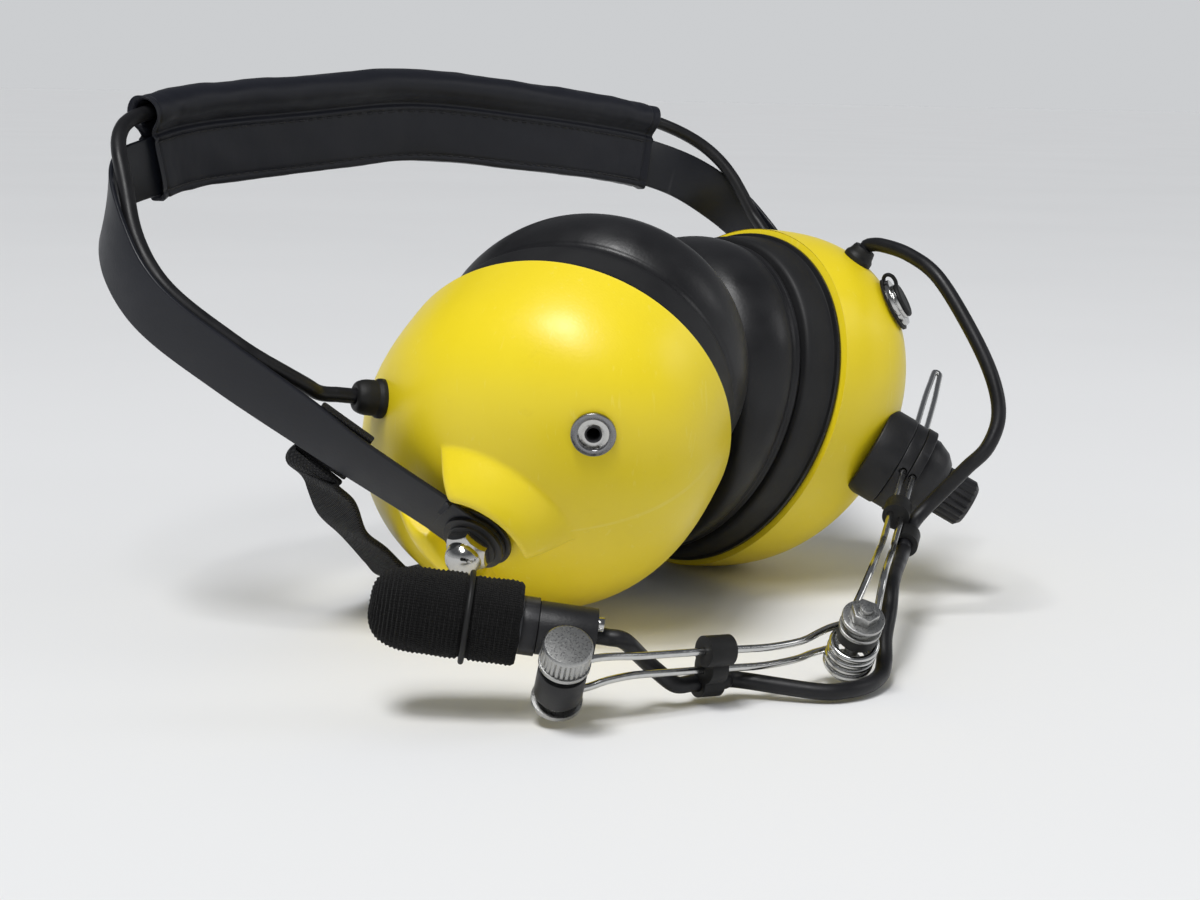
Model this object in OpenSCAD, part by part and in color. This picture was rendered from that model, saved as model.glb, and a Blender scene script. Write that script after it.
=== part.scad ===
// Aviation headset with behind-the-neck band, wire microphone boom and two
// oval ear cups, lying on a table with both cups down.
// Millimetres. +X runs through the cups to the wearer's far cup, +Y to the neck
// pad, +Z up, and the table is z = 0.

/* [Ear cups] */
// Half of an ear shell's long axis at its rim
cup_long = 52.9; // [46:0.1:60]
// Short axis of an ear shell over its long axis
cup_ratio = 0.782; // [0.72:0.002:0.86]
// Height of the yellow dome over its rim
dome_h = 41.3; // [36:0.1:46]
// Wall of the ear shell
shell_wall = 2.6; // [2:0.1:3.2]
// Height of the raised lobes beside the pivot
lobe_h = 7.5; // [4:0.1:9]
// Radius of the round recess between the lobes
recess_r = 12.5; // [11.5:0.1:14]
// Thickness of the black seal plate behind the dome
plate_h = 9.6; // [7:0.1:12]
// Depth of the ear cushion below the seal plate
cushion_h = 21.2; // [18:0.1:24]
// Half of the ear cushion's long axis at its bulge
cushion_long = 46.4; // [43:0.1:49]

/* [Cup placing] */
// Distance from the middle plane to each rim centre
cup_gap = 32.06; // [32.06:0.01:36]
// Sideways slip of the cups along their pressed faces
cup_slip = 9.6; // [6:0.1:12]
// Roll of the line through both cups
cup_roll = 13.8; // [12:0.1:15]
// Height of the middle of the cups
cup_z = 48.6; // [48.6:0.1:52]

/* [Neck band] */
// Width of the spring steel band
band_w = 14; // [12:0.5:15]
// Thickness of the spring steel band
band_t = 1.2; // [1:0.1:1.4]
// Height of the padded neck sleeve
sleeve_h = 25.3; // [24:0.1:28]
// Diameter of the cables
cable_d = 3.6; // [3.2:0.1:4]
// Width of the overhead strap
strap_w = 14; // [12:1:16]

/* [Microphone boom] */
// Diameter of the boom's spring wire
wire_d = 1.6; // [1.4:0.1:1.8]
// Turns in the friction coil of the boom joint
coil_turns = 4; // [3:1:4]
// Outside diameter of the friction coil
coil_od = 11; // [10:0.2:12]
// Diameter of the discs that clamp the boom
clamp_d = 24; // [22:0.5:26]
// Diameter of the clamp's knurled knob
knob_d = 12.5; // [11:0.5:14]
// Diameter of the microphone muff
muff_d = 17.8; // [16:0.2:20]
// Length of the microphone muff
muff_l = 31; // [28:0.5:34]

/* [Hidden] */
$fn = 48;
EPS = 0.01;
// Puts the middle of the whole headset over the origin
place = [5.8, 7.3, 0.4];

function unit(v) = v / norm(v);
function side_of(v, w) = unit(cross(v, w));
function lerp(a, b, t) = a + (b - a) * t;
function step(a, b, x) = let (t = min(1, max(0, (x - a) / (b - a)))) t * t * (3 - 2 * t);

// Points of a smooth curve through the given ones, k to a span
function spline(p, k) = concat(
    [for (i = [0 : len(p) - 2], j = [0 : k - 1])
        let (a = p[max(0, i - 1)], b = p[i], c = p[i + 1],
             d = p[min(len(p) - 1, i + 2)], t = j / k)
        b + 0.5 * t * ((c - a) + t * ((2 * a - 5 * b + 4 * c - d)
            + t * (3 * b - a - 3 * c + d)))],
    [p[len(p) - 1]]);
function tangent(p, i) = unit(p[min(len(p) - 1, i + 1)] - p[max(0, i - 1)]);

// Side vectors along a path, each turned as little as possible from the last
function carried(p, i = 0, last = undef) =
    i == len(p) ? [] :
    let (t = tangent(p, i),
         start = abs(t.z) < 0.8 ? [0, 0, 1] : [1, 0, 0],
         v = last == undef ? start : last,
         s = unit(v - t * (v * t)))
    concat([s], carried(p, i + 1, s));

// Solid swept through rings that all have the same number of points
module skin(rings) {
    n = len(rings[0]);
    m = len(rings);
    pts = [for (r = rings, p = r) p];
    walls = [for (i = [0 : m - 2], j = [0 : n - 1])
        let (a = i * n + j, b = i * n + (j + 1) % n)
        [[a, b + n, b], [a, a + n, b + n]]];
    polyhedron(pts, concat(
        [for (w = walls, f = w) f],
        [[for (j = [0 : n - 1]) j]],
        [[for (j = [n - 1 : -1 : 0]) (m - 1) * n + j]]), convexity = 6);
}

// Round cord along a path, or along the stretch of it between two points
module cord(p, d, from = 0, to = undef, sides = 8) {
    s = carried(p);
    last = to == undef ? len(p) - 1 : to;
    skin([for (i = [from : last])
        let (t = tangent(p, i), u = s[i], v = cross(t, u))
        [for (j = [0 : sides - 1])
            p[i] + d / 2 * (u * cos(360 * j / sides) + v * sin(360 * j / sides))]]);
}

// Children with their z axis along v, moved to p
module aim(p, v, spin = 0) {
    translate(p)
        rotate([0, acos(unit(v).z), atan2(v.y, v.x)])
            rotate([0, 0, spin])
                children();
}

module ring(outer, inner, h) {
    difference() {
        cylinder(h = h, d = outer);
        translate([0, 0, -1])
            cylinder(h = h + 2, d = inner);
    }
}

// ---- Places of the two ear cups -------------------------------------------
// In a cup's own frame x is the short axis, y the long axis and z points out
// through the dome. The left cup mirrors the right one.

cup_tilt = 110.5;
cup_toe = 12;
cup_turn = 140;

function rot_x(v, a) = [v.x, v.y * cos(a) - v.z * sin(a), v.y * sin(a) + v.z * cos(a)];
function rot_y(v, a) = [v.x * cos(a) + v.z * sin(a), v.y, v.z * cos(a) - v.x * sin(a)];
function rot_z(v, a) = [v.x * cos(a) - v.y * sin(a), v.x * sin(a) + v.y * cos(a), v.z];
function flip(v, side) = [side * v.x, v.y, v.z];
function to_row(v) = rot_z(rot_y(v, -cup_roll), -1.1);
function cup_dir(side, v) =
    to_row(flip(rot_z(rot_y(rot_z(v, cup_turn), cup_tilt), -cup_toe), side));
function cup_centre(side) =
    [place.x, place.y, cup_z] + to_row(flip([cup_gap, side * 3.4, -side * cup_slip], side));
function in_cup(side, v) = cup_centre(side) + cup_dir(side, v);

module on_cup(side) {
    translate([place.x, place.y, cup_z])
        rotate([0, -cup_roll, -1.1])
            mirror([side < 0 ? 1 : 0, 0, 0])
                translate([cup_gap, side * 3.4, -side * cup_slip])
                    rotate([0, cup_tilt, -cup_toe])
                        rotate([0, 0, cup_turn])
                            children();
}

// The middle plane where the cushions press together, seen from a cup
press = let (x = rot_z([1, 0, 0], cup_toe)) rot_z(rot_y(x, -cup_tilt), -cup_turn);
press_gap = 0.3;

// ---- Ear shell -------------------------------------------------------------

// Point of the dome: a is the angle about its axis, f runs from 1 at the rim
// to 0 at the top, and cut makes the surface smaller all round
function dome_w(f) = pow(max(0, 1 - pow(f, 1.93)), 1 / 3.18);
function dome(a, f, cut = 0) =
    let (w = dome_w(f), r = (cup_long * (1 + 0.035 * w) - cut) * f)
    [(r * cup_ratio - cut * (1 - cup_ratio) * f) * cos(a), r * sin(a), (dome_h - cut) * w];
function dome_normal(a, f) = unit(cross(
    dome(a + 1, f) - dome(a - 1, f), dome(a, f - 0.01) - dome(a, f + 0.01)));

// Extra height of the lobes over the dome
function lobe(p) =
    let (d = norm([p.x, p.y]), a = d < 1 ? 90 : atan2(abs(p.y), abs(p.x)))
    lobe_h * (p.y < 0 ? 0.8 : 1) * step(22, 44, a)
        * exp(-pow(max(0, d - recess_r) / lobe_fade, 2));
function lobed(p) = [p.x, p.y, p.z + lobe(p)];

dome_segs = 48;
dome_rings = 14;
dome_steps = [for (i = [0 : dome_rings - 1]) cos(90 * i / dome_rings)];

module dome_solid(cut = 0, raised = true) {
    rings = [for (f = dome_steps)
        [for (j = [0 : dome_segs - 1])
            let (p = dome(360 * j / dome_segs, f, cut)) raised ? lobed(p) : p]];
    skin(rings);
}

jack_at = [96.8, 0.757];
gland_at = [-2.5, 0.855];
mic_gland_at = [69.3, 0.97];
aux_at = [89, 0.922];
boom_at = [144.7, 0.91];
jack_nut_d = 10;
// Distance over which the lobes fade, as a share of the room left before the jack's nut
lobe_share = 0.63838789;
lobe_fade = lobe_share
    * (norm([dome(jack_at[0], jack_at[1]).x, dome(jack_at[0], jack_at[1]).y])
        - jack_nut_d / 2 - recess_r);

module on_dome(at) {
    p = dome(at[0], at[1]);
    n = dome_normal(at[0], at[1]);
    aim(p, n) children();
}

recess_z = dome_h;

// Bow-tie recess that the band end swings in
module recess() {
    translate([0, 0, recess_z])
        linear_extrude(20) {
            circle(recess_r);
            for (s = [1, -1])
                scale([s, 1])
                    polygon([[0, 7.6], [9.7, 7.6], [30, 30], [60, 30],
                             [60, -34], [30, -34], [6.5, -10.6], [0, -10.6]]);
        }
}

shell_bores = [[gland_at, 5.2], [jack_at, 7.2], [mic_gland_at, 5.2], [aux_at, 9.2]];

module ear_shell(bores) {
    difference() {
        dome_solid();
        translate([0, 0, -EPS])
            dome_solid(shell_wall, false);
        recess();
        translate([0, 0, dome_h - 11.3])
            cylinder(h = 20, d = 9.4);
        for (i = bores)
            on_dome(shell_bores[i][0])
                translate([0, 0, -8])
                    cylinder(h = 14, d = shell_bores[i][1]);
    }
}

module left_ear_shell() {
    color("gold") on_cup(-1) ear_shell([0, 1]);
}

module right_ear_shell() {
    color("gold")
        difference() {
            on_cup(1)
                ear_shell([0, 2, 3]);
            at_clamp()
                translate([0, 0, -14])
                    cylinder(h = 20, d = 4.2);
        }
}

// ---- Seal plate, speaker and foam ------------------------------------------

function oval(long, short, n = 64) =
    [for (i = [0 : n - 1]) [short * cos(360 * i / n), long * sin(360 * i / n)]];

plate_long = cup_long - 1.5;
plate_short = plate_long * cup_ratio;
speaker_d = 40;

module seal_plate() {
    difference() {
        union() {
            translate([0, 0, -4])
                linear_extrude(4)
                    polygon(oval(plate_long, plate_short));
            translate([0, 0, -plate_h])
                linear_extrude(plate_h - 4 + EPS)
                    polygon(oval(plate_long - 1, plate_short - 1));
        }
        translate([0, 0, -plate_h - 1])
            cylinder(h = plate_h + 2, d = speaker_d + 0.4);
    }
}

module left_seal_plate() {
    color([0.09, 0.09, 0.1]) on_cup(-1) seal_plate();
}

module right_seal_plate() {
    color([0.09, 0.09, 0.1]) on_cup(1) seal_plate();
}

module speaker() {
    translate([0, 0, -5])
        cylinder(h = 5, d = speaker_d);
    translate([0, 0, -EPS])
        cylinder(h = 7, d = 24);
}

module left_speaker() {
    color("dimgray") on_cup(-1) speaker();
}

module right_speaker() {
    color("dimgray") on_cup(1) speaker();
}

cushion_short = cushion_long * cup_ratio;
cushion_tube = 17;
hole_long = cushion_long - cushion_tube;
hole_short = cushion_short - cushion_tube;

module foam_liner() {
    translate([0, 0, -plate_h - 4])
        linear_extrude(4)
            polygon(oval(hole_long - 0.6, hole_short - 0.6));
}

module left_foam_liner() {
    color("black") on_cup(-1) foam_liner();
}

module right_foam_liner() {
    color("black") on_cup(1) foam_liner();
}

// ---- Ear cushion ------------------------------------------------------------

// Section of the free cushion: share of the way from the hole to the bulge,
// and depth below the plate as a share of the cushion's depth
cushion_section = [[0.9, 0], [0.99, 0.16], [1, 0.4], [0.96, 0.62], [0.86, 0.82],
                   [0.7, 0.95], [0.5, 1], [0.28, 0.96], [0.1, 0.82], [0.02, 0.6],
                   [0, 0.3], [0.03, 0]];
// Depth that the other cushion leaves free at a place
function room(p) =
    (cup_gap - press_gap + press.x * p.x + press.y * p.y) / press.z - plate_h;
function pressed(d, free) = d * free / pow(pow(d, 6) + pow(free, 6), 1 / 6);
function cushion_point(a, s) =
    let (x = lerp(hole_short, cushion_short, s[0]) * cos(a),
         y = lerp(hole_long, cushion_long, s[0]) * sin(a),
         d = pressed(s[1] * cushion_h, room([x, y])))
    [x, y, -plate_h - d];

// Ring-shaped solid closed on itself, from sections of n points
module loop_skin(rings) {
    n = len(rings[0]);
    m = len(rings);
    faces = [for (i = [0 : m - 1], j = [0 : n - 1])
        let (a = i * n + j, b = i * n + (j + 1) % n,
             c = ((i + 1) % m) * n + j, e = ((i + 1) % m) * n + (j + 1) % n)
        [[a, b, e], [a, e, c]]];
    polyhedron([for (r = rings, p = r) p], [for (q = faces, f = q) f], convexity = 6);
}

module ear_cushion() {
    loop_skin([for (i = [0 : 47])
        [for (s = cushion_section) cushion_point(-360 * i / 48, s)]]);
}

module left_ear_cushion() {
    color([0.1, 0.1, 0.11]) on_cup(-1) ear_cushion();
}

module right_ear_cushion() {
    color([0.1, 0.1, 0.11]) on_cup(1) ear_cushion();
}

// ---- Cup pivots --------------------------------------------------------------

ball_z = dome_h - 6.3;
ball_d = 11;
pad_z = dome_h + 2.2;
stud_d = 6;

// Socket inside the dome that holds the stud's ball
module pivot_socket() {
    difference() {
        translate([0, 0, ball_z - 5])
            cylinder(h = dome_h - shell_wall - ball_z + 3.7, d = 20);
        translate([0, 0, ball_z])
            sphere(d = ball_d + 0.1);
        translate([0, 0, ball_z])
            cylinder(h = 20, d = 9.4);
        translate([0, 0, ball_z - 10])
            cylinder(h = 10, d = 8);
    }
}

module pivot_stud() {
    translate([0, 0, ball_z])
        sphere(d = ball_d);
    translate([0, 0, ball_z])
        cylinder(h = pad_z + 5 - ball_z, d = stud_d);
}

// Flat washers on both sides of the band end
module pivot_washer() {
    translate([0, 0, pad_z - 1])
        ring(17, stud_d + 0.04, 1);
    translate([0, 0, pad_z + band_t])
        ring(15, stud_d + 0.04, 1);
    translate([0, 0, pad_z + band_t + 1])
        ring(12, stud_d + 0.04, 0.8);
}

nut_z = pad_z + band_t + 1.8;

module acorn_nut() {
    difference() {
        union() {
            intersection() {
                translate([0, 0, nut_z])
                    cylinder(h = 4, d = 11, $fn = 6);
                translate([0, 0, nut_z - 3.5])
                    sphere(d = 15.6);
            }
            translate([0, 0, nut_z + 3.4])
                sphere(d = 8.6);
        }
        translate([0, 0, nut_z - 6])
            cylinder(h = 6, d = 30);
        translate([0, 0, nut_z - 1])
            cylinder(h = 4.4, d = stud_d + 0.04);
    }
}

module left_pivot_socket() {
    color("dimgray") on_cup(-1) pivot_socket();
}

module left_pivot_stud() {
    color("silver") on_cup(-1) pivot_stud();
}

module left_pivot_washer() {
    color("black") on_cup(-1) pivot_washer();
}

module left_acorn_nut() {
    color("silver") on_cup(-1) acorn_nut();
}

module right_pivot_socket() {
    color("dimgray") on_cup(1) pivot_socket();
}

module right_pivot_stud() {
    color("silver") on_cup(1) pivot_stud();
}

module right_pivot_washer() {
    color("black") on_cup(1) pivot_washer();
}

module right_acorn_nut() {
    color("silver") on_cup(1) acorn_nut();
}

// ---- Glands and sockets on the domes -----------------------------------------

gland_h = 8;
mic_gland_h = 5;

module gland(h = gland_h) {
    difference() {
        union() {
            cylinder(h = h - 2, d = 9);
            translate([0, 0, h - 2])
                cylinder(h = 2, d1 = 9, d2 = 6.4);
            translate([0, 0, -6])
                cylinder(h = 6 + EPS, d = 5.1);
        }
        translate([0, 0, -7])
            cylinder(h = 7, d = cable_d);
    }
}

module left_cable_gland() {
    color([0.08, 0.08, 0.08]) on_cup(-1) on_dome(gland_at) gland();
}

module right_cable_gland() {
    color([0.08, 0.08, 0.08]) on_cup(1) on_dome(gland_at) gland();
}

module mic_cable_gland() {
    color([0.08, 0.08, 0.08]) on_cup(1) on_dome(mic_gland_at) gland(mic_gland_h);
}

jack_bore = 3.6;

module audio_jack() {
    color("silver")
        on_cup(-1)
            on_dome(jack_at)
                difference() {
                    translate([0, 0, -14])
                        cylinder(h = 15, d = 7);
                    translate([0, 0, -13])
                        cylinder(h = 20, d = jack_bore);
                }
}

module audio_jack_nut() {
    color("silver")
        on_cup(-1)
            on_dome(jack_at)
                translate([0, 0, 0.3])
                    ring(jack_nut_d, 7.04, 1.2);
}

module aux_socket() {
    color("silver")
        on_cup(1)
            on_dome(aux_at)
                difference() {
                    translate([0, 0, -12])
                        cylinder(h = 14.4, d = 9);
                    translate([0, 0, -11])
                        cylinder(h = 20, d = 6);
                }
}

module aux_socket_nut() {
    color("silver")
        on_cup(1)
            on_dome(aux_at)
                translate([0, 0, 0.3])
                    ring(12.5, 9.04, 1.5);
}

// Dust cap pushed into the socket, with its tether ring round the nut
module aux_dust_cap() {
    color([0.06, 0.06, 0.06])
        on_cup(1)
            on_dome(aux_at) {
                translate([0, 0, -4])
                    cylinder(h = 6.4 + EPS, d = 5.9);
                translate([0, 0, 2.4])
                    cylinder(h = 1.6, d = 9.5);
            }
}

// ---- Neck band ------------------------------------------------------------------

function put(p) = p + place;
band_normal = [0, -sin(44), cos(44)];
pad_mid = pad_z + band_t / 2;
left_width = cup_dir(-1, [sin(3), cos(3), 0]);
right_width = cup_dir(1, [sin(19), cos(19), 0]);
// The band's ends lie flat between the pivot washers
function flat_end(side, turn, r) = in_cup(side, [r * cos(turn), -r * sin(turn), pad_mid]);
// Middle line of the band from the left pad over the neck to the right pad
band_route = concat(
    [for (r = [0, 4.6, 9.2, 12.2]) flat_end(-1, 3, r)],
    [for (p = [
        [-88, 10.5, 44], [-95.5, 19, 52], [-106.5, 30.5, 63], [-115.5, 41, 73],
        [-118.8, 48.5, 80.5], [-117.5, 57.5, 89], [-112.5, 66.5, 97.5],
        [-104.5, 72.5, 103.5], [-93, 75.8, 106.5], [-75.5, 79, 109.5],
        [-41.5, 81.5, 112], [0, 84, 114.5], [41, 80.5, 111.5], [71, 77.5, 108.3],
        [88, 74.8, 105.5], [102, 69.5, 100.5], [111, 61, 92.5], [114, 51, 83],
        [108, 38, 73.5], [97, 24, 63], [86, 8, 51]
    ]) put(p)],
    [for (r = [12.2, 9.2, 4.6, 0]) flat_end(1, 19, r)]);
band_path = spline(band_route, 3);
band_last = len(band_path) - 1;
sleeve_from = 36;
sleeve_to = 54;
// The band stands upright at the neck and leans with the cups at its ends
function band_width_dir(i) =
    let (t = tangent(band_path, i),
         near_left = 1 - step(9, 18, i), near_right = 1 - step(9, 18, band_last - i),
         neck = step(sleeve_from - 10, sleeve_from, i) * (1 - step(sleeve_to, sleeve_to + 9, i)),
         up = [lerp(-0.2, 0.4, (i - sleeve_from) / (sleeve_to - sleeve_from)), 0, 0.95],
         v = band_normal * (1 - near_left - near_right - neck) + up * neck
             + left_width * near_left + right_width * near_right)
    unit(v - t * (v * t));
// Away from the head
function band_out(i) = cross(tangent(band_path, i), band_width_dir(i)) * -1;

// Point beside the band's middle line, o outwards and w across
function by_band(i, o, w) = band_path[i] + band_out(i) * o + band_width_dir(i) * w;

module band_pad(side) {
    on_cup(side)
        translate([0, 0, pad_z])
            cylinder(h = band_t, d = band_w + 1);
}

module band_spring() {
    t = band_t / 2;
    w = band_w / 2;
    color([0.07, 0.07, 0.08])
        difference() {
            union() {
                skin([for (i = [0 : band_last])
                    [by_band(i, 0, w), by_band(i, -t, w - 0.8), by_band(i, -t, 0.8 - w),
                     by_band(i, 0, -w), by_band(i, t, 0.8 - w), by_band(i, t, w - 0.8)]]);
                band_pad(-1);
                band_pad(1);
            }
            for (side = [-1, 1])
                on_cup(side)
                    translate([0, 0, pad_z - 5])
                        cylinder(h = 12, d = stud_d + 0.04);
        }
}

// Tube round the band between two of its points, from an outer and an inner section
module band_tube(outside, inside, from, to) {
    n = len(outside);
    m = to - from + 1;
    outer = [for (i = [from : to], p = outside) by_band(i, p.x, p.y)];
    inner = [for (i = [from : to], p = inside) by_band(i, p.x, p.y)];
    off = len(outer);
    tube = [for (i = [0 : m - 2], j = [0 : n - 1])
        let (a = i * n + j, b = i * n + (j + 1) % n, c = a + n, e = b + n)
        [[a, e, b], [a, c, e], [off + a, off + b, off + e], [off + a, off + e, off + c]]];
    ends = [for (j = [0 : n - 1])
        let (a = j, b = (j + 1) % n, k = (m - 1) * n)
        [[a, off + b, off + a], [a, b, off + b],
         [k + a, off + k + b, k + b], [k + a, off + k + a, off + k + b]]];
    polyhedron(concat(outer, inner),
        concat([for (q = tube, f = q) f], [for (q = ends, f = q) f]), convexity = 8);
}

// Sleeve: a flat pocket for the band under a round roll for the cable
pocket_low = -band_w / 2 - 1.3;
pocket_top = band_w / 2 + 0.6;
roll_r = (sleeve_h + pocket_low - pocket_top - 0.8) / 2;
roll_at = pocket_low + sleeve_h - roll_r;
roll_n = 9;
function sleeve_section(wall) = concat(
    [[-1.7 + wall, pocket_top + 1], [-2.1 + wall, pocket_top],
     [-2.1 + wall, pocket_low + wall], [2.1 - wall, pocket_low + wall],
     [2.1 - wall, pocket_top], [1.7 - wall, pocket_top + 1]],
    [for (i = [0 : roll_n]) let (a = -50 + 280 * i / roll_n)
        [(roll_r - wall) * cos(a), roll_at + (roll_r - wall) * sin(a)]]);

module neck_sleeve() {
    color([0.05, 0.05, 0.06])
        band_tube(sleeve_section(0), sleeve_section(1), sleeve_from, sleeve_to);
}

// ---- Cable between the cups ------------------------------------------------------

cross_in = -band_t / 2 - cable_d / 2 - 0.7;
cross_from = 18;
cross_to = 63;
cross_low = band_w / 2 - 2;
function cross_share(i) =
    step(sleeve_from - 9, sleeve_from, i) * (1 - step(sleeve_to, sleeve_to + 9, i));
function cross_point(i) =
    let (s = cross_share(i)) by_band(i, lerp(cross_in, 0, s * s), lerp(cross_low, roll_at, s));

function gland_top(side, at, h = gland_h) =
    in_cup(side, dome(at[0], at[1]) + dome_normal(at[0], at[1]) * h);
function gland_dir(side, at) = cup_dir(side, dome_normal(at[0], at[1]));

// Stretch from a gland to the cable on the band, without its last point
function drop_route(side) =
    let (top = gland_top(side, gland_at), dir = gland_dir(side, gland_at),
         i = side < 0 ? cross_from : cross_to,
         end = cross_point(i), away = unit(end - cross_point(i - side)))
    concat([top],
        spline([top + dir * 2.5, top + dir * 7,
                lerp(top + dir * 10, end + away * 14, 0.6) - band_out(i) * 2,
                end + away * 5 - band_out(i) * 0.5], 4));
left_drop = drop_route(-1);
right_drop = drop_route(1);
function reversed(p) = [for (i = [len(p) - 1 : -1 : 0]) p[i]];
cross_path = concat(left_drop, [for (i = [cross_from : cross_to]) cross_point(i)],
    reversed(right_drop));
cross_a = len(left_drop);
cross_b = cross_a + cross_to - cross_from;

module left_cable_drop() {
    color([0.06, 0.06, 0.07]) cord(cross_path, cable_d, 0, cross_a);
}

module crossover_cable() {
    color([0.06, 0.06, 0.07]) cord(cross_path, cable_d, cross_a, cross_b);
}

module right_cable_drop() {
    color([0.06, 0.06, 0.07]) cord(cross_path, cable_d, cross_b);
}

// ---- Overhead strap ---------------------------------------------------------------

strap_t = 1.6;
strap_left = 13;
strap_right = band_last - 14;
strap_route = concat(
    [by_band(strap_left, 0, -band_w / 2 - 1.8), by_band(strap_left, -0.4, -band_w / 2 - 5.6)],
    [for (p = [
        [-82, 24.5, 33], [-74, 29, 24], [-65, 31, 17.5], [-54, 35, 9.5], [-42, 42, 3.4],
        [-25, 49, 1.1], [0, 53, 0.9], [28, 51, 1.1], [50, 46, 4], [70, 40, 12],
        [84, 33, 24], [92, 28, 38]
    ]) put(p)],
    [by_band(strap_right, -0.4, -band_w / 2 - 5.6), by_band(strap_right, 0, -band_w / 2 - 1.8)]);
strap_path = spline(strap_route, 3);
strap_last = len(strap_path) - 1;
// Webbing folded round the band
function strap_loop(wall) =
    let (o = band_t / 2 + 0.35 + wall, w = band_w / 2 + 0.35 + wall)
    [[-o, w], [-o, -w], [o, -w], [o, w]];
function strap_across(i) =
    let (t = tangent(strap_path, i),
         low = step(4, 16, i) * (1 - step(strap_last - 16, strap_last - 4, i)),
         v = lerp(tangent(band_path, i < 20 ? strap_left : strap_right), [0, 1, 0], low))
    unit(v - t * (v * t));

module overhead_strap() {
    color([0.05, 0.05, 0.05]) {
        skin([for (i = [0 : strap_last])
            let (p = strap_path[i], w = strap_across(i) * strap_w / 2,
                 o = cross(tangent(strap_path, i), strap_across(i)) * strap_t / 2)
            [p + o + w, p + o - w, p - o - w, p - o + w]]);
        band_tube(strap_loop(strap_t), strap_loop(0), strap_left - 2, strap_left + 2);
        band_tube(strap_loop(strap_t), strap_loop(0), strap_right - 2, strap_right + 2);
    }
}

// ---- Microphone boom -----------------------------------------------------------------

// Outward axis of the clamp on the right dome, and the place of its foot
clamp_foot = in_cup(1, dome(boom_at[0], boom_at[1]));
elbow = put([-34, -91.5, 9.6]);
elbow_axis = unit([-0.362, -0.493, 0.79]);
mic_joint = put([-102.5, -68.2, 10.5]);
clamp_guess = [0.6, -0.66, -0.45];
split_h = 7;
arm_dir = unit(elbow - (clamp_foot + clamp_guess * split_h));
clamp_axis = unit(clamp_guess - arm_dir * (clamp_guess * arm_dir));
clamp_side = cross(arm_dir, clamp_axis);
wire_gap = 2.8;
wire_off = 3.6;
split = clamp_foot + clamp_axis * split_h + clamp_side * wire_off;

module at_clamp() {
    aim(clamp_foot, clamp_axis) children();
}

// Straight channel for one boom wire, h above the clamp's foot
module channel(h) {
    aim(clamp_foot + clamp_axis * h + clamp_side * wire_off - arm_dir * 30, arm_dir)
        cylinder(h = 60, d = wire_d + 0.3);
}

base_h = split_h - wire_gap / 2 - wire_d / 2 - 1.2;

module boom_base() {
    color([0.07, 0.07, 0.07])
        difference() {
            at_clamp()
                translate([0, 0, -4])
                    cylinder(h = base_h + 4, d = clamp_d);
            on_cup(1)
                dome_solid();
            at_clamp()
                translate([0, 0, -20])
                    cylinder(h = 40, d = 4.1);
        }
}

// Disc that turns on the base and clamps the first wire
module boom_clamp_disc() {
    color([0.07, 0.07, 0.07])
        difference() {
            at_clamp()
                translate([0, 0, base_h + 0.08])
                    ring(clamp_d - 0.6, 4.1, split_h - base_h - 0.16);
            channel(split_h - wire_gap / 2);
        }
}

cap_h = 16.6;

module boom_clamp_cap() {
    color([0.07, 0.07, 0.07])
        difference() {
            at_clamp() {
                translate([0, 0, split_h])
                    cylinder(h = 2.6, d = clamp_d);
                translate([0, 0, split_h + 2.6])
                    cylinder(h = 1.6, d = clamp_d - 3);
                translate([0, 0, split_h + 4.2])
                    cylinder(h = 3.4, d1 = clamp_d - 3, d2 = clamp_d - 6);
                translate([0, 0, split_h + 7.6])
                    cylinder(h = cap_h - split_h - 7.6, d1 = clamp_d - 6, d2 = 14);
            }
            channel(split_h + wire_gap / 2);
            at_clamp()
                translate([0, 0, -20])
                    cylinder(h = 60, d = 4.1);
        }
}

module boom_bolt() {
    color("silver")
        at_clamp()
            translate([0, 0, -6])
                cylinder(h = cap_h + 12, d = 4);
}

knob_h = 9;

module boom_knob() {
    color([0.06, 0.06, 0.06])
        at_clamp()
            translate([0, 0, cap_h + 0.1])
                difference() {
                    union() {
                        cylinder(h = knob_h - 1.2, d = knob_d);
                        translate([0, 0, knob_h - 1.2])
                            cylinder(h = 1.2, d1 = knob_d, d2 = knob_d - 2.4);
                    }
                    translate([0, 0, -1])
                        cylinder(h = knob_h - 1, d = 4.06);
                    for (i = [0 : 19])
                        rotate([0, 0, 18 * i])
                            translate([knob_d / 2, 0, -1])
                                rotate([0, 0, 45])
                                    cube([0.8, 0.8, 30], center = true);
                }
}

// Heights of the parts on the elbow's screw
elbow_loop = 7.4;
elbow_side = side_of(elbow_axis, arm_dir);
elbow_in = cross(elbow_side, elbow_axis);
tip_up = 62;

// One leg of the hairpin, s = 1 or -1, from the tip to the elbow's loop
function upper_leg(s) =
    let (end = elbow + elbow_axis * elbow_loop)
    concat([split - arm_dir * tip_up],
        [for (d = [tip_up - 2 : -8 : -52])
            split - arm_dir * d + clamp_axis * s * wire_gap / 2 * step(-1, 6, tip_up - d)],
        [lerp(split + arm_dir * 52, end - elbow_in * 18, 0.5) + elbow_side * s * 1.4,
         end - elbow_in * 17 - elbow_axis * 0.8 + elbow_side * s * 1.5,
         end - elbow_in * 10 + elbow_side * s * 1.9,
         end - elbow_in * 4 + elbow_side * s * 2.4,
         end + elbow_side * s * 2.5 + elbow_in * 0.1]);

// Eye at the end of a boom wire, round a screw
module wire_eye(p, axis, r) {
    aim(p, axis)
        rotate_extrude($fn = 32)
            translate([r, 0])
                circle(d = wire_d, $fn = 16);
}

module upper_boom_wire() {
    color("silver") {
        for (s = [1, -1])
            cord(spline(upper_leg(s), 2), wire_d);
        wire_eye(elbow + elbow_axis * elbow_loop, elbow_axis, 2.5);
    }
}

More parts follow.
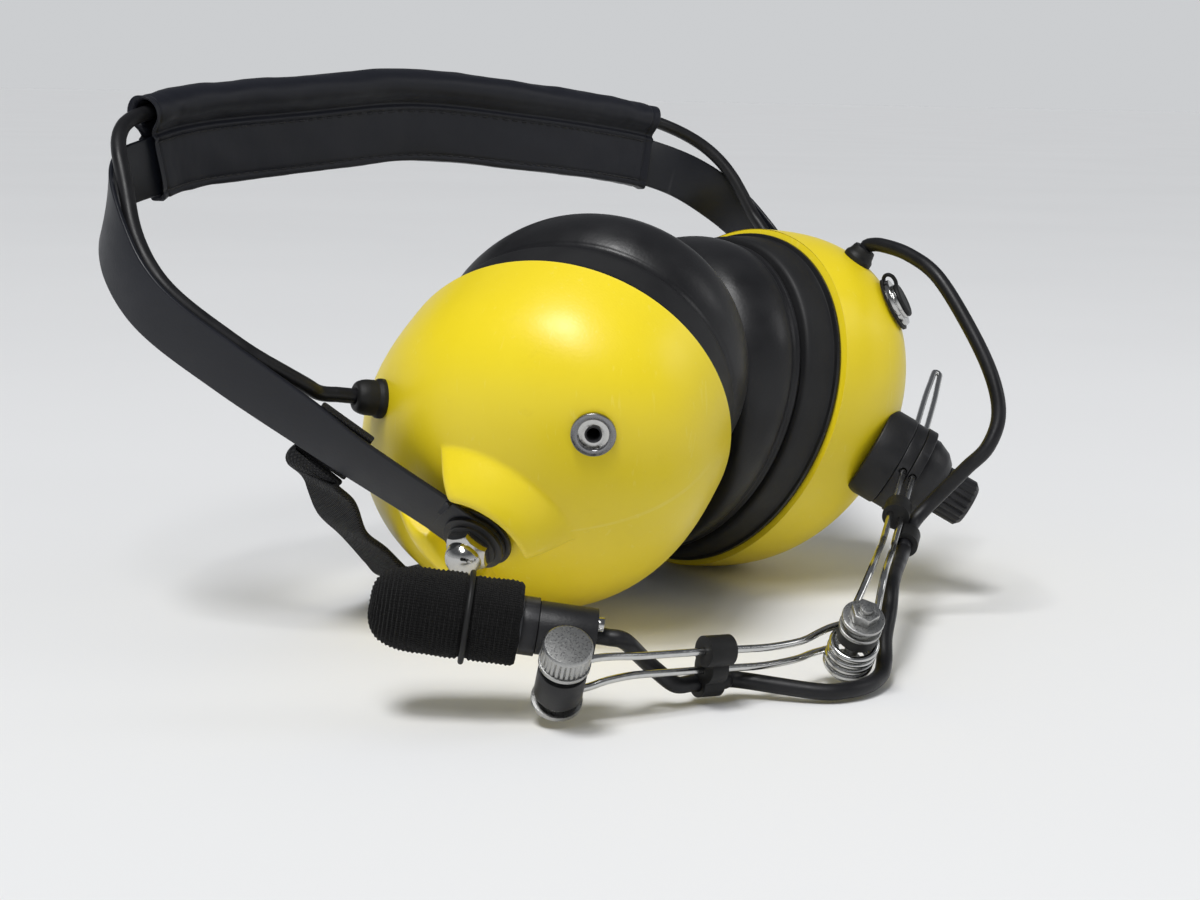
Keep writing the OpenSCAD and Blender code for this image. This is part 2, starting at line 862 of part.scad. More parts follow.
// ---- Elbow ------------------------------------------------------------------------------

module at_elbow(h = 0) {
    aim(elbow + elbow_axis * h, elbow_axis) children();
}

module elbow_screw() {
    color("silver") {
        at_elbow(-7)
            cylinder(h = 19.6, d = 3);
        at_elbow(-8.6)
            cylinder(h = 1.6, d = 8);
    }
}

module elbow_nut() {
    color("silver")
        at_elbow(9.25)
            difference() {
                cylinder(h = 2.4, d = 6.4, $fn = 6);
                translate([0, 0, -1])
                    cylinder(h = 5, d = 3.04);
            }
}

module elbow_washers() {
    color("silver") {
        at_elbow(8.3)
            ring(9.4, 3.04, 0.95);
        at_elbow(5.5)
            ring(9.4, 3.04, 0.95);
    }
}

module elbow_rubber_washer() {
    color([0.05, 0.05, 0.05])
        at_elbow(2.6)
            ring(9, 3.04, 2.85);
}

// The lower arm: both legs leave the coil towards the microphone joint. They start
// and end level with the joints' screws and climb in between.
lower_vec = mic_joint - elbow;
lower_rise = lower_vec * elbow_axis;
lower_in = unit(lower_vec - elbow_axis * lower_rise);
lower_run = lower_vec * lower_in;
lower_bend = 9;
lower_dir = unit(lower_in * (lower_run - 2 * lower_bend) + elbow_axis * lower_rise);
lower_off = cross(lower_in, elbow_axis);
coil_r = (coil_od - wire_d) / 2;
coil_pitch = wire_d + 0.45;
coil_top = 1.4;
leg_up = 3.2;
mic_loop_top = 4;
mic_loop_low = -5.5;
echo(coil_gap = coil_pitch * cos(atan2(coil_pitch, 2 * PI * coil_r)) - wire_d);

// Point x along the lower arm, n over its middle line and o beside it
function lower_at(x, n, o) =
    elbow + lower_in * x + lower_off * o + elbow_axis
        * (n + lower_rise * min(1, max(0, (x - lower_bend) / (lower_run - 2 * lower_bend))));
function coil_at(t) = lower_at(-coil_r * sin(360 * t), coil_top - coil_pitch * t,
                               coil_r * cos(360 * t));
coil_steps = 16;
function leg(z0, z1, z2, o) = [
    lower_at(4, lerp(z0, z1, 0.1), o * 0.95), lower_at(8, lerp(z0, z1, 0.6), o * 0.68),
    lower_at(13.5, z1, o * 0.22), lower_at(22, z1, 0), lower_at(30, z1, 0),
    lower_at(38, z1, 0), lower_at(46, z1, 0), lower_at(lower_run - 17, z1, 0),
    lower_at(lower_run - 11, lerp(z1, z2, 0.5), 0), lower_at(lower_run - 7, z2, 0),
    lower_at(lower_run - 2.4, z2, 0)
];
lower_wire_path = concat(
    spline(reversed(leg(coil_top, leg_up, mic_loop_top, coil_r)), 2),
    [for (i = [0 : coil_steps * coil_turns]) coil_at(i / coil_steps)],
    spline(leg(coil_top - coil_pitch * coil_turns, -leg_up, mic_loop_low, coil_r), 2));

module lower_boom_wire() {
    color("silver") {
        cord(lower_wire_path, wire_d);
        for (z = [mic_loop_top, mic_loop_low])
            wire_eye(mic_joint + elbow_axis * z, elbow_axis, 2.5);
    }
}

// ---- Microphone joint ----------------------------------------------------------------------

module at_joint(h = 0) {
    aim(mic_joint + elbow_axis * h, elbow_axis) children();
}

module mic_joint_screw() {
    color("silver") {
        at_joint(-7.5)
            cylinder(h = 1, d = 10.6);
        at_joint(-7)
            cylinder(h = 16, d = 3);
        at_joint(4.9)
            cylinder(h = 0.9, d = 10.6);
    }
}

module mic_thumb_nut() {
    color("silver")
        at_joint(5.9)
            difference() {
                union() {
                    cylinder(h = 4.6, d = 10.2);
                    translate([0, 0, 4.6])
                        cylinder(h = 0.4, d1 = 10.2, d2 = 9.4);
                }
                translate([0, 0, -1])
                    cylinder(h = 4.4, d = 3.04);
                for (i = [0 : 29])
                    rotate([0, 0, 12 * i])
                        translate([5.1, 0, 0])
                            rotate([0, 0, 45])
                                cube([0.35, 0.35, 8], center = true);
            }
}

mic_dir_guess = [-0.683, 0.718, 0.135];
mic_dir = unit(mic_dir_guess - elbow_axis * (mic_dir_guess * elbow_axis));
barrel_off = side_of(mic_dir, elbow_axis);
barrel = mic_joint + barrel_off * 10.8 + elbow_axis * 1.6;
barrel_d = 11;
barrel_l = 12;

module mic_joint_block() {
    color([0.07, 0.07, 0.07])
        difference() {
            union() {
                aim(barrel - mic_dir * barrel_l / 2, mic_dir)
                    cylinder(h = barrel_l, d = barrel_d);
                at_joint(-4.6)
                    cylinder(h = 7.7, d = 10);
                aim(mic_joint + barrel_off * 1 - elbow_axis * 0.8, barrel_off,
                    atan2(elbow_axis.z, 0))
                    translate([-3, -3, 0])
                        cube([6, 6, 6]);
            }
            at_joint(-8)
                cylinder(h = 20, d = 3.1);
            aim(barrel - mic_dir * 20, mic_dir)
                cylinder(h = 20, d = cable_d);
            aim(barrel - mic_dir * EPS, mic_dir)
                cylinder(h = 20, d = 6.1);
        }
}

module barrel_screw() {
    color("silver")
        aim(barrel - mic_dir * (barrel_l / 2 + 1.2) + elbow_axis * 3.6, mic_dir)
            cylinder(h = 1.2, d = 3);
}

muff_foot = barrel_l / 2 + 0.1;

module mic_collar() {
    color([0.09, 0.09, 0.09])
        aim(barrel + mic_dir * muff_foot, mic_dir)
            cylinder(h = 3.2, d = 12);
}

module mic_capsule() {
    color("dimgray") {
        aim(barrel + mic_dir * 0.5, mic_dir)
            cylinder(h = muff_foot - 0.5, d = 6);
        aim(barrel + mic_dir * (muff_foot + 3.2), mic_dir)
            cylinder(h = 22, d = 12);
    }
}

muff_z = muff_foot + 3.3;

// Half of the muff's outline, from its mouth to its round end
muff_line = concat(
    [[6.1, 0], [muff_d / 2 - 1.2, 0], [muff_d / 2 - 0.3, 1.2], [muff_d / 2, 6],
     [muff_d / 2, muff_l - 11]],
    [for (a = [10 : 10 : 90]) [muff_d / 2 * cos(a), muff_l - 11 + 11 * sin(a)]],
    [[0, 22.2], [6.1, 22.2]]);

module mic_muff() {
    color([0.03, 0.03, 0.03])
        aim(barrel + mic_dir * muff_z, mic_dir)
            difference() {
                rotate_extrude()
                    polygon(muff_line);
                translate([0, 0, 11])
                    rotate_extrude()
                        translate([muff_d / 2 + 0.2, 0])
                            circle(d = 1.3);
            }
}

module muff_ring() {
    color([0.02, 0.02, 0.02])
        aim(barrel + mic_dir * (muff_z + 11), mic_dir)
            rotate_extrude()
                translate([muff_d / 2 + 0.2, 0])
                    circle(d = 1.2);
}

// ---- Cable clips on the boom ------------------------------------------------------------

clip_up_at = 34;
clip_up = split + arm_dir * clip_up_at;
clip_up_cable = clip_up + clamp_axis * 4.8 + arm_dir * 5 - clamp_side * 2.8;

module cable_clip_upper() {
    color([0.05, 0.05, 0.05])
        difference() {
            union() {
                aim(clip_up, arm_dir)
                    translate([0, 0, -3])
                        cylinder(h = 6, d = 6.6);
                aim(clip_up_cable, arm_dir)
                    translate([0, 0, -2.6])
                        cylinder(h = 6, d = 6.4);
            }
            aim(clip_up_cable, arm_dir)
                translate([0, 0, -10])
                    cylinder(h = 20, d = cable_d + 0.2);
            for (s = [1, -1])
                aim(clip_up + clamp_axis * s * wire_gap / 2 - arm_dir * 10, arm_dir)
                    cylinder(h = 20, d = wire_d + 0.06);
        }
}

clip_low_at = 35.4;
clip_low = lower_at(clip_low_at, leg_up, 0);
clip_low_cable = lower_at(clip_low_at, -7.6, 0);

module cable_clip_lower() {
    color([0.05, 0.05, 0.05])
        difference() {
            union() {
                aim(clip_low, lower_dir)
                    translate([0, 0, -3.2])
                        cylinder(h = 6.4, d = 6.6);
                aim(lower_at(clip_low_at - 2, -2.4, 0), lower_dir)
                    cylinder(h = 4, d = 7);
                aim(clip_low_cable, lower_dir)
                    translate([0, 0, -2.6])
                        cylinder(h = 5.2, d = 6.2);
            }
            aim(clip_low_cable - lower_dir * 10, lower_dir)
                cylinder(h = 20, d = cable_d + 0.2);
            for (z = [leg_up, -leg_up])
                aim(lower_at(clip_low_at - 10, z, 0), lower_dir)
                    cylinder(h = 20, d = wire_d + 0.06);
        }
}

// ---- Microphone cable -----------------------------------------------------------------------

mic_gland_top = gland_top(1, mic_gland_at, mic_gland_h);
mic_gland_dir = gland_dir(1, mic_gland_at);
// Straight run through a clip
function through(p, dir) = [for (k = [-8, -4, 0, 4, 8]) p + dir * k];
// Loop in front of the cup, from the gland down past the knob, then along the boom
loop_route = concat(
    [mic_gland_top + mic_gland_dir * 1.8],
    [for (p = [[46.5, -53.5, 84.5], [44.5, -65.5, 74.5], [43.5, -76, 59],
        [41.5, -79.5, 51.5], [38, -78.5, 44]]) put(p)]);
elbow_route = concat(through(clip_up_cable, arm_dir),
    [for (p = [[-9.5, -84.5, 18.5], [-16, -88.3, 13.5], [-21.5, -91, 8.5],
        [-25, -93.5, 4.6], [-30, -96, 2.6], [-37, -97.3, 2], [-43.3, -96.3, 1.9],
        [-48.5, -92.5, 2]]) put(p)]);
end_route = concat(through(clip_low_cable, lower_dir),
    [lower_at(clip_low_at + 11, -6.2, 2.4), lower_at(clip_low_at + 15, -2.8, 4.2),
     barrel - mic_dir * (barrel_l / 2 + 6) - elbow_axis * 0.4,
     barrel - mic_dir * (barrel_l / 2 + 2.5), barrel - mic_dir * (barrel_l / 2 - 1.5)]);
mic_path = concat([mic_gland_top],
    spline(concat(loop_route, elbow_route, end_route), 3));
mic_a = 1 + 3 * (len(loop_route) - 1);
mic_b = 1 + 3 * (len(loop_route) + 2);
mic_c = 1 + 3 * (len(loop_route) + len(elbow_route) + 2);

module mic_cable_loop() {
    color([0.06, 0.06, 0.07]) cord(mic_path, cable_d, 0, mic_a);
}

module mic_cable_upper() {
    color([0.06, 0.06, 0.07]) cord(mic_path, cable_d, mic_a, mic_b);
}

module mic_cable_lower() {
    color([0.06, 0.06, 0.07]) cord(mic_path, cable_d, mic_b, mic_c);
}

module mic_cable_end() {
    color([0.06, 0.06, 0.07]) cord(mic_path, cable_d, mic_c);
}

left_ear_shell();
left_seal_plate();
left_ear_cushion();
left_foam_liner();
left_speaker();
left_pivot_socket();
left_pivot_stud();
left_pivot_washer();
left_acorn_nut();
left_cable_gland();
audio_jack();
audio_jack_nut();
right_ear_shell();
right_seal_plate();
right_ear_cushion();
right_foam_liner();
right_speaker();
right_pivot_socket();
right_pivot_stud();
right_pivot_washer();
right_acorn_nut();
right_cable_gland();
mic_cable_gland();
aux_socket();
aux_socket_nut();
aux_dust_cap();
band_spring();
neck_sleeve();
crossover_cable();
left_cable_drop();
right_cable_drop();
overhead_strap();
boom_base();
boom_bolt();
boom_clamp_disc();
boom_clamp_cap();
boom_knob();
upper_boom_wire();
cable_clip_upper();
elbow_screw();
elbow_nut();
elbow_washers();
elbow_rubber_washer();
lower_boom_wire();
cable_clip_lower();
mic_joint_screw();
mic_thumb_nut();
mic_joint_block();
barrel_screw();
mic_capsule();
mic_collar();
mic_muff();
muff_ring();
mic_cable_loop();
mic_cable_upper();
mic_cable_lower();
mic_cable_end();
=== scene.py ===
"""Looks of the headset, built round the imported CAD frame. Metres; helper geometry is in millimetres."""
import math

import bmesh
import bpy
import numpy as np
from mathutils import Matrix, Vector, noise

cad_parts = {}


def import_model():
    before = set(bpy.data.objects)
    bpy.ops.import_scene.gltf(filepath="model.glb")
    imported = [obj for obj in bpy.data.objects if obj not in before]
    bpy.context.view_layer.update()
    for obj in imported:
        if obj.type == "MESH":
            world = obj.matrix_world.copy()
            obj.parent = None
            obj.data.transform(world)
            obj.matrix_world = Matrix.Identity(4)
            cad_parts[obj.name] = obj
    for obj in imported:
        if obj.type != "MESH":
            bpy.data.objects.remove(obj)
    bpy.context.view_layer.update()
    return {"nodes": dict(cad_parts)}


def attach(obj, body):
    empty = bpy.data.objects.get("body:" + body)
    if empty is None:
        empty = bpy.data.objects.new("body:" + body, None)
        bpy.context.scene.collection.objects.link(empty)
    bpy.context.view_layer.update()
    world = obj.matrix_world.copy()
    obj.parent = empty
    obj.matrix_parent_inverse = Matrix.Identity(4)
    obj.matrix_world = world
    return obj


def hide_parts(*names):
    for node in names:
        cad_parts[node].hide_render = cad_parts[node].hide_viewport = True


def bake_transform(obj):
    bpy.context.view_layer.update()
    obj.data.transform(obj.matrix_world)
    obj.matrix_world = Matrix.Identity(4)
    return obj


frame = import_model()
scene = bpy.context.scene
MM = 0.001
TURN = 2 * math.pi

# ---- The object's own numbers, as in its CAD source
PLACE = np.array([5.8, 7.3, 0.4])
CUP_LONG, CUP_RATIO, DOME_H, SHELL_WALL = 52.9, 0.782, 41.3, 2.6
DOME_FLARE, DOME_ROUND, DOME_SQUARE = 0.035, 1.93, 3.18
LOBE_H, RECESS_R, PLATE_H = 7.5, 12.5, 9.6
CUSHION_H, CUSHION_LONG = 21.2, 46.4
CUP_GAP, CUP_SLIP, CUP_SHIFT, CUP_ROLL, CUP_YAW, CUP_Z = 32.06, 9.6, 3.4, 13.8, 1.1, 48.6
CUP_FACE, CUP_LEAN, CUP_SPIN = 12, 110.5, 140
BAND_W, BAND_T, SLEEVE_H, CABLE_D, STRAP_W = 14.0, 1.2, 25.3, 3.6, 14.0
WIRE_D, COIL_TURNS, COIL_OD = 1.6, 4, 11.0
MUFF_D, MUFF_L, GLAND_H = 17.8, 31.0, 8.0
# Places on a dome: turn in degrees, then share of the way out to the rim
GLAND_AT, MIC_GLAND_AT, BOOM_AT = (-2.5, 0.855), (69.3, 0.97), (144.7, 0.91)
JACK_AT, AUX_AT = (96.8, 0.757), (89, 0.922)
SIDES = ((-1, "left"), (1, "right"))


def vec(*p):
    return np.array(p, float)


def route(*points):
    return list(np.array(points, float) + PLACE)


def units(v):
    """Each of several vectors at length one."""
    return v / np.maximum(np.linalg.norm(v, axis=-1, keepdims=True), 1e-12)


def unit(v):
    return v / np.linalg.norm(v)


def lerp(a, b, t):
    return a + (b - a) * t


def step(a, b, x):
    """Smooth rise from 0 at a to 1 at b."""
    t = np.clip((x - a) / (b - a), 0, 1)
    return t * t * (3 - 2 * t)


def deg(a):
    return math.radians(a)


def turned(v, *turns):
    """Points or directions turned by degrees about y or z, one turn after another."""
    v = np.asarray(v, float)
    for a, axis in turns:
        c, s = math.cos(deg(a)), math.sin(deg(a))
        m = [[c, 0, s], [0, 1, 0], [-s, 0, c]] if axis == "y" else [[c, -s, 0], [s, c, 0], [0, 0, 1]]
        v = v @ np.array(m).T
    return v


def to_row(v):
    return turned(v, (-CUP_ROLL, "y"), (-CUP_YAW, "z"))


def cup_dir(side, v):
    v = turned(v, (CUP_SPIN, "z"), (CUP_LEAN, "y"), (-CUP_FACE, "z"))
    return to_row(v * vec(side, 1, 1))


def in_cup(side, v):
    centre = to_row(vec(CUP_GAP, side * CUP_SHIFT, -side * CUP_SLIP) * vec(side, 1, 1))
    return vec(PLACE[0], PLACE[1], CUP_Z) + centre + cup_dir(side, v)


def spline(p, k, closed=False):
    """Smooth curve through the points, k steps to a span."""
    p = np.asarray(p, float)
    n = len(p)
    out = []
    for i in range(n if closed else n - 1):
        near = [j % n if closed else min(max(j, 0), n - 1) for j in range(i - 1, i + 3)]
        a, b, c, d = p[near]
        out += [b + 0.5 * t * ((c - a) + t * ((2 * a - 5 * b + 4 * c - d) + t * (3 * b - a - 3 * c + d)))
                for t in np.arange(k) / k]
    return np.array(out if closed else out + [p[-1]])


def tangents(p):
    return units(np.vstack([p[1:], p[-1:]]) - np.vstack([p[:1], p[:-1]]))


def carried(t):
    """Side vectors along a path with tangents t, each turned as little as possible from the last."""
    last = vec(0, 0, 1) if abs(t[0][2]) < 0.8 else vec(1, 0, 0)
    out = []
    for d in t:
        last = unit(last - d * (last @ d))
        out.append(last)
    return np.array(out)


def outward(t):
    """Normals of an anticlockwise outline, from its tangents."""
    return units(np.stack([t[:, 1], -t[:, 0]], -1))


def run_of(p):
    """Distance run at each point of a line."""
    return np.concatenate([[0], np.cumsum(np.linalg.norm(np.diff(p, axis=0), axis=1))])


def circle(n):
    return np.linspace(0, TURN, n, endpoint=False)


def placed(name, data):
    obj = bpy.data.objects.new(name, data)
    scene.collection.objects.link(obj)
    return obj


# ---- Camera first, then meshes
def camera():
    data = bpy.data.cameras.new("camera")
    data.sensor_width, data.sensor_fit, data.lens = 36, "HORIZONTAL", 65.7
    data.clip_start, data.clip_end = 0.01, 20
    look = Vector((0.740, 0.652, -0.164)).normalized()
    right = look.cross(Vector((0.110, 0.124, 0.986))).normalized()
    turn = Matrix((right, right.cross(look), -look)).transposed().to_4x4()
    turn.translation = Vector((-0.4116, -0.3475, 0.1282))
    scene.camera = placed("camera", data)
    scene.camera.matrix_world = turn


camera()


def part(rings, coord=None, closed=False, flip=False):
    """One solid shape: rings of points, capped, or joined last to first where closed."""
    return rings, np.zeros(rings.shape) if coord is None else coord, closed, flip


def mesh_of(name, parts, sharp=None):
    """Mesh object from parts in millimetres; its uvw is a surface coordinate in metres."""
    verts, runs, faces, count = [], [], [], 0
    for rings, coord, closed, flip in parts:
        rows, cols = rings.shape[:2]
        r, c = np.meshgrid(np.arange(rows if closed else rows - 1), np.arange(cols), indexing="ij")
        r1, c1 = (r + 1) % rows, (c + 1) % cols
        f = np.stack([r * cols + c, r * cols + c1, r1 * cols + c1, r1 * cols + c], -1)
        f = f.reshape(-1, 4) + count
        faces += (f[:, ::-1] if flip else f).tolist()
        if not closed:
            first = list(range(count, count + cols))
            last = [v + (rows - 1) * cols for v in first]
            faces += [first, last[::-1]] if flip else [first[::-1], last]
        verts.append(rings.reshape(-1, 3))
        runs.append(coord.reshape(-1, 3))
        count += rows * cols
    mesh = bpy.data.meshes.new(name)
    mesh.from_pydata((np.vstack(verts) * MM).tolist(), [], faces)
    grid = bmesh.new()
    grid.from_mesh(mesh)
    bmesh.ops.recalc_face_normals(grid, faces=grid.faces)
    grid.to_mesh(mesh)
    grid.free()
    mesh.update()
    mesh.polygons.foreach_set("use_smooth", [True] * len(mesh.polygons))
    if sharp is not None:
        mesh.set_sharp_from_angle(angle=deg(sharp))
    at = mesh.attributes.new("uvw", "FLOAT_VECTOR", "POINT")
    at.data.foreach_set("vector", np.vstack(runs).astype(np.float32).ravel())
    return placed(name, mesh)


def coords(along, across):
    """Surface coordinate of rings, from the runs along and across them."""
    along, across = np.broadcast_arrays(along[:, None], across)
    return np.stack([along, across, 0 * along], -1) * MM


def spokes(x, y, sides):
    """Directions in a full turn from x over y."""
    ang = circle(sides)[:, None]
    return x[..., None, :] * np.cos(ang) + y[..., None, :] * np.sin(ang)


def tube_rings(p, d, sides=20, round_ends=True):
    """Rings of a round tube along a path, and their surface coordinate."""
    p = np.asarray(p, float)
    t = tangents(p)
    u = carried(t)
    ring = spokes(u, np.cross(t, u), sides)
    rings = p[:, None] + ring * d / 2
    along = run_of(p)
    if round_ends:
        a = p[0] + ring[0] * d * 0.42
        rings[0] = rings[0] + t[0] * d * 0.08
        z = p[-1] + ring[-1] * d * 0.42
        rings[-1] = rings[-1] - t[-1] * d * 0.08
        rings = np.concatenate([a[None], rings, z[None]])
        along = np.concatenate([[0], along, [along[-1]]])
    return rings, coords(along, circle(sides) * d / 2)


def frame_at(p, axis, spin=(0, 0, 1)):
    """Origin and three axes with z along axis and x towards spin."""
    z = unit(axis)
    ref = vec(1, 0, 0) if abs(z @ unit(vec(*spin))) > 0.95 else vec(*spin)
    x = unit(ref - z * (ref @ z))
    return p, x, np.cross(z, x), z


def lathe_rings(place, profile, sides=64):
    """Rings of a turned shape from (radius, height) points, and their surface coordinate."""
    o, x, y, z = place
    prof = np.asarray(profile, float)
    rings = o + prof[:, :1, None] * spokes(x, y, sides) + prof[:, 1:, None] * z
    return rings, coords(run_of(prof), circle(sides) * np.maximum(prof[:, :1], 1))


def hoop(place, section, sides, flip=False):
    """Ring with the given section of (radius, height) points."""
    return part(lathe_rings(place, section, sides)[0].swapaxes(0, 1), closed=True, flip=flip)


def rings_at(places, sec):
    """Rings of a section at each place: a point and the section's two directions there."""
    p, o, w = (np.array(v)[:, None] for v in zip(*places))
    return p + sec[..., :1] * o + sec[..., 1:] * w


def swept(places, sec, edge):
    """Rings of one section, and their surface coordinate with edge as the run across."""
    return rings_at(places, sec), coords(run_of(np.array([place[0] for place in places])), edge)


def softened(points, spacing=0.25, passes=1, closed=False):
    """Line with more points and with its corners rounded off."""
    p = np.asarray(points, float)
    out = []
    for a, b in zip(p, np.roll(p, -1, axis=0) if closed else p[1:]):
        n = max(1, int(np.linalg.norm(b - a) / spacing + 0.5 * closed))
        out += [lerp(a, b, i / n) for i in range(n)]
    out = np.array(out if closed else out + [p[-1]])
    for _ in range(passes):
        soft = 0.5 * out + 0.25 * (np.roll(out, 1, axis=0) + np.roll(out, -1, axis=0))
        out = soft if closed else np.vstack([out[:1], soft[1:-1], out[-1:]])
    return out


def rough_at(x, y, z):
    """Smooth noise from -1 to 1."""
    return noise.noise(Vector((x, y, z)))


def wobble(points, scale, seed=0.0):
    return np.array([rough_at(p[0] * scale + seed, p[1] * scale, p[2] * scale)
                     for p in np.asarray(points).reshape(-1, 3)])


# ---- Materials
def rgba(v):
    return (*v, 1) if isinstance(v, tuple) else v


def toned(base, share, more=0):
    return tuple(c * share + more for c in base)


class Graph:
    """Builds a node tree; an input is given as a value or as the socket that feeds it."""

    def __init__(self, tree):
        self.tree = tree
        tree.nodes.clear()

    def node(self, kind, inputs=(), **values):
        n = self.tree.nodes.new(kind)
        for key, v in values.items():
            setattr(n, key, v)
        for key, v in dict(inputs).items():
            if isinstance(v, bpy.types.NodeSocket):
                self.tree.links.new(v, n.inputs[key])
            else:
                n.inputs[key].default_value = v
        return n

    def math(self, how, *values):
        return self.node("ShaderNodeMath", enumerate(values), operation=how).outputs[0]

    def ramp(self, fac, stops):
        n = self.node("ShaderNodeValToRGB", {0: fac})
        for item, (pos, col) in zip(n.color_ramp.elements, stops):
            item.position = pos
            item.color = (*col, 1)
        return n.outputs[0]


class Look(Graph):
    """A procedural material built step by step."""

    def __init__(self, name, rough, metal=0.0, spec=0.5, coat=0.0, coat_rough=0.2, sheen=0.0):
        self.m = bpy.data.materials.new(name)
        self.m.use_nodes = True
        super().__init__(self.m.node_tree)
        self.b = self.node("ShaderNodeBsdfPrincipled", {
            "Roughness": rough, "Metallic": metal, "Specular IOR Level": spec,
            "Coat Weight": coat, "Coat Roughness": coat_rough, "Sheen Weight": sheen})
        self.node("ShaderNodeOutputMaterial", {0: self.b.outputs[0]})
        self.coord = self.node("ShaderNodeTexCoord").outputs["Object"]
        self.normal = None

    def surface_coord(self):
        return self.node("ShaderNodeAttribute", attribute_name="uvw").outputs["Vector"]

    def noise(self, scale, detail=3.0, rough=0.5, coord=None, distortion=0.0):
        return self.node("ShaderNodeTexNoise", {
            "Vector": coord or self.coord, "Scale": scale, "Detail": detail, "Roughness": rough,
            "Distortion": distortion}).outputs["Fac"]

    def cells(self, scale, feature="F1"):
        return self.node("ShaderNodeTexVoronoi", {"Vector": self.coord, "Scale": scale},
                         feature=feature).outputs["Distance"]

    def wave(self, scale, direction, distortion=0.0):
        return self.node("ShaderNodeTexWave", {"Vector": self.surface_coord(), "Scale": scale,
                                               "Distortion": distortion},
                         bands_direction=direction).outputs["Fac"]

    def range(self, fac, *limits):
        """Maps the first two limits to the last two."""
        return self.node("ShaderNodeMapRange", enumerate((fac, *limits))).outputs[0]

    def mix(self, fac, a, b):
        n = self.node("ShaderNodeMix", {"Factor": fac, "A": rgba(a), "B": rgba(b)}, data_type="RGBA")
        return [o for o in n.outputs if o.type == "RGBA"][0]

    def patchy(self, scale, detail, dark, light, top=0.7):
        """Colour that drifts between two tones."""
        return self.ramp(self.noise(scale, detail), [(0.3, dark), (top, light)])

    def colour(self, sock):
        self.tree.links.new(sock, self.b.inputs["Base Color"])

    def rough(self, fac, low, high):
        """Roughness from low to high over the middle of a noise."""
        self.tree.links.new(self.range(fac, 0.3, 0.7, low, high), self.b.inputs["Roughness"])

    def bump(self, height, distance, strength=1.0):
        inputs = {"Strength": strength, "Distance": distance, "Height": height}
        if self.normal is not None:
            inputs["Normal"] = self.normal
        self.normal = self.node("ShaderNodeBump", inputs).outputs[0]
        self.tree.links.new(self.normal, self.b.inputs["Normal"])

    def edges(self, low, high):
        """1 on edges that stand out, 0 elsewhere."""
        sharp = self.node("ShaderNodeNewGeometry").outputs["Pointiness"]
        return self.range(sharp, low, high, 0, 1)


def yellow_shell():
    k = Look("yellow_shell", 0.4, coat=0.12, coat_rough=0.3)
    base = k.patchy(22, 4, (0.87, 0.67, 0.008), (0.90, 0.71, 0.014))
    dirt = k.range(k.noise(160, 8, 0.7), 0.62, 0.8, 0, 0.22)
    base = k.mix(dirt, base, (0.62, 0.44, 0.02))
    wear_and_highlight = k.math("MULTIPLY", k.edges(0.53, 0.62), k.noise(400, 3))
    base = k.mix(k.math("MULTIPLY", wear_and_highlight, 0.5), base, (0.95, 0.80, 0.16))
    along = k.node("ShaderNodeMapping", {"Vector": k.coord, "Scale": (1, 1, 0.12)}).outputs[0]
    scuffs = k.range(k.noise(700, 2, 0.4, along, 1.5), 0.68, 0.72, 0, 0.35)
    k.colour(k.mix(scuffs, base, (0.93, 0.76, 0.10)))
    k.rough(k.noise(70, 6, 0.6), 0.33, 0.45)
    k.bump(k.noise(1500, 2, 0.5), 0.00005, 0.6)
    k.bump(k.noise(240, 2), 0.00012, 0.25)
    return k.m


def plastic(name, base, rough, grain):
    k = Look(name, rough, spec=0.36)
    a = k.patchy(90, 5, base, toned(base, 1.7), 0.75)
    wear_and_highlight = k.math("MULTIPLY", k.edges(0.53, 0.66), k.noise(500, 4))
    k.colour(k.mix(wear_and_highlight, a, toned(base, 5, 0.02)))
    k.rough(k.noise(140, 6, 0.6), rough - 0.08, rough + 0.1)
    k.bump(k.noise(grain, 2), 0.00006, 0.7)
    return k.m


def plate_look():
    """Dull moulded side with a glossy lip next to the shell."""
    k = Look("plate_gloss", 0.5, spec=0.4)
    k.colour(k.patchy(90, 5, (0.006, 0.006, 0.007), (0.011, 0.011, 0.012), 0.75))
    height = k.node("ShaderNodeSeparateXYZ", {0: k.surface_coord()}).outputs["Z"]
    rough = k.math("ADD", k.range(height, -0.0017, -0.0013, 0.56, 0.22),
                   k.range(k.noise(140, 6), 0.3, 0.7, -0.04, 0.06))
    k.tree.links.new(rough, k.b.inputs["Roughness"])
    k.bump(k.noise(2400, 2), 0.00005, 0.6)
    return k.m


def vinyl():
    base = (0.007, 0.007, 0.008)
    k = Look("cushion_vinyl", 0.38, spec=0.36, sheen=0.02)
    a = k.patchy(60, 5, base, toned(base, 1.6))
    k.colour(k.mix(k.range(k.edges(0.5, 0.6), 0, 1, 0, 0.25), a, (0.028, 0.028, 0.031)))
    k.rough(k.noise(120, 5), 0.32, 0.48)
    k.bump(k.cells(1500, "SMOOTH_F1"), 0.00005, 0.4)
    k.bump(k.noise(180, 2), 0.0001, 0.3)
    return k.m


def foam():
    k = Look("foam", 0.95, spec=0.15, sheen=0.2)
    k.colour(k.ramp(k.cells(1100), [(0.1, (0.006, 0.006, 0.006)), (0.6, (0.035, 0.035, 0.036))]))
    k.bump(k.cells(1100), 0.0004)
    return k.m


def sleeve_cloth():
    k = Look("sleeve_cloth", 0.5, spec=0.3, sheen=0.03)
    k.colour(k.patchy(30, 2, (0.006, 0.007, 0.012), (0.008, 0.009, 0.015)))
    k.rough(k.noise(60, 1), 0.44, 0.5)
    k.bump(k.noise(1100, 1), 0.00005, 0.35)
    return k.m


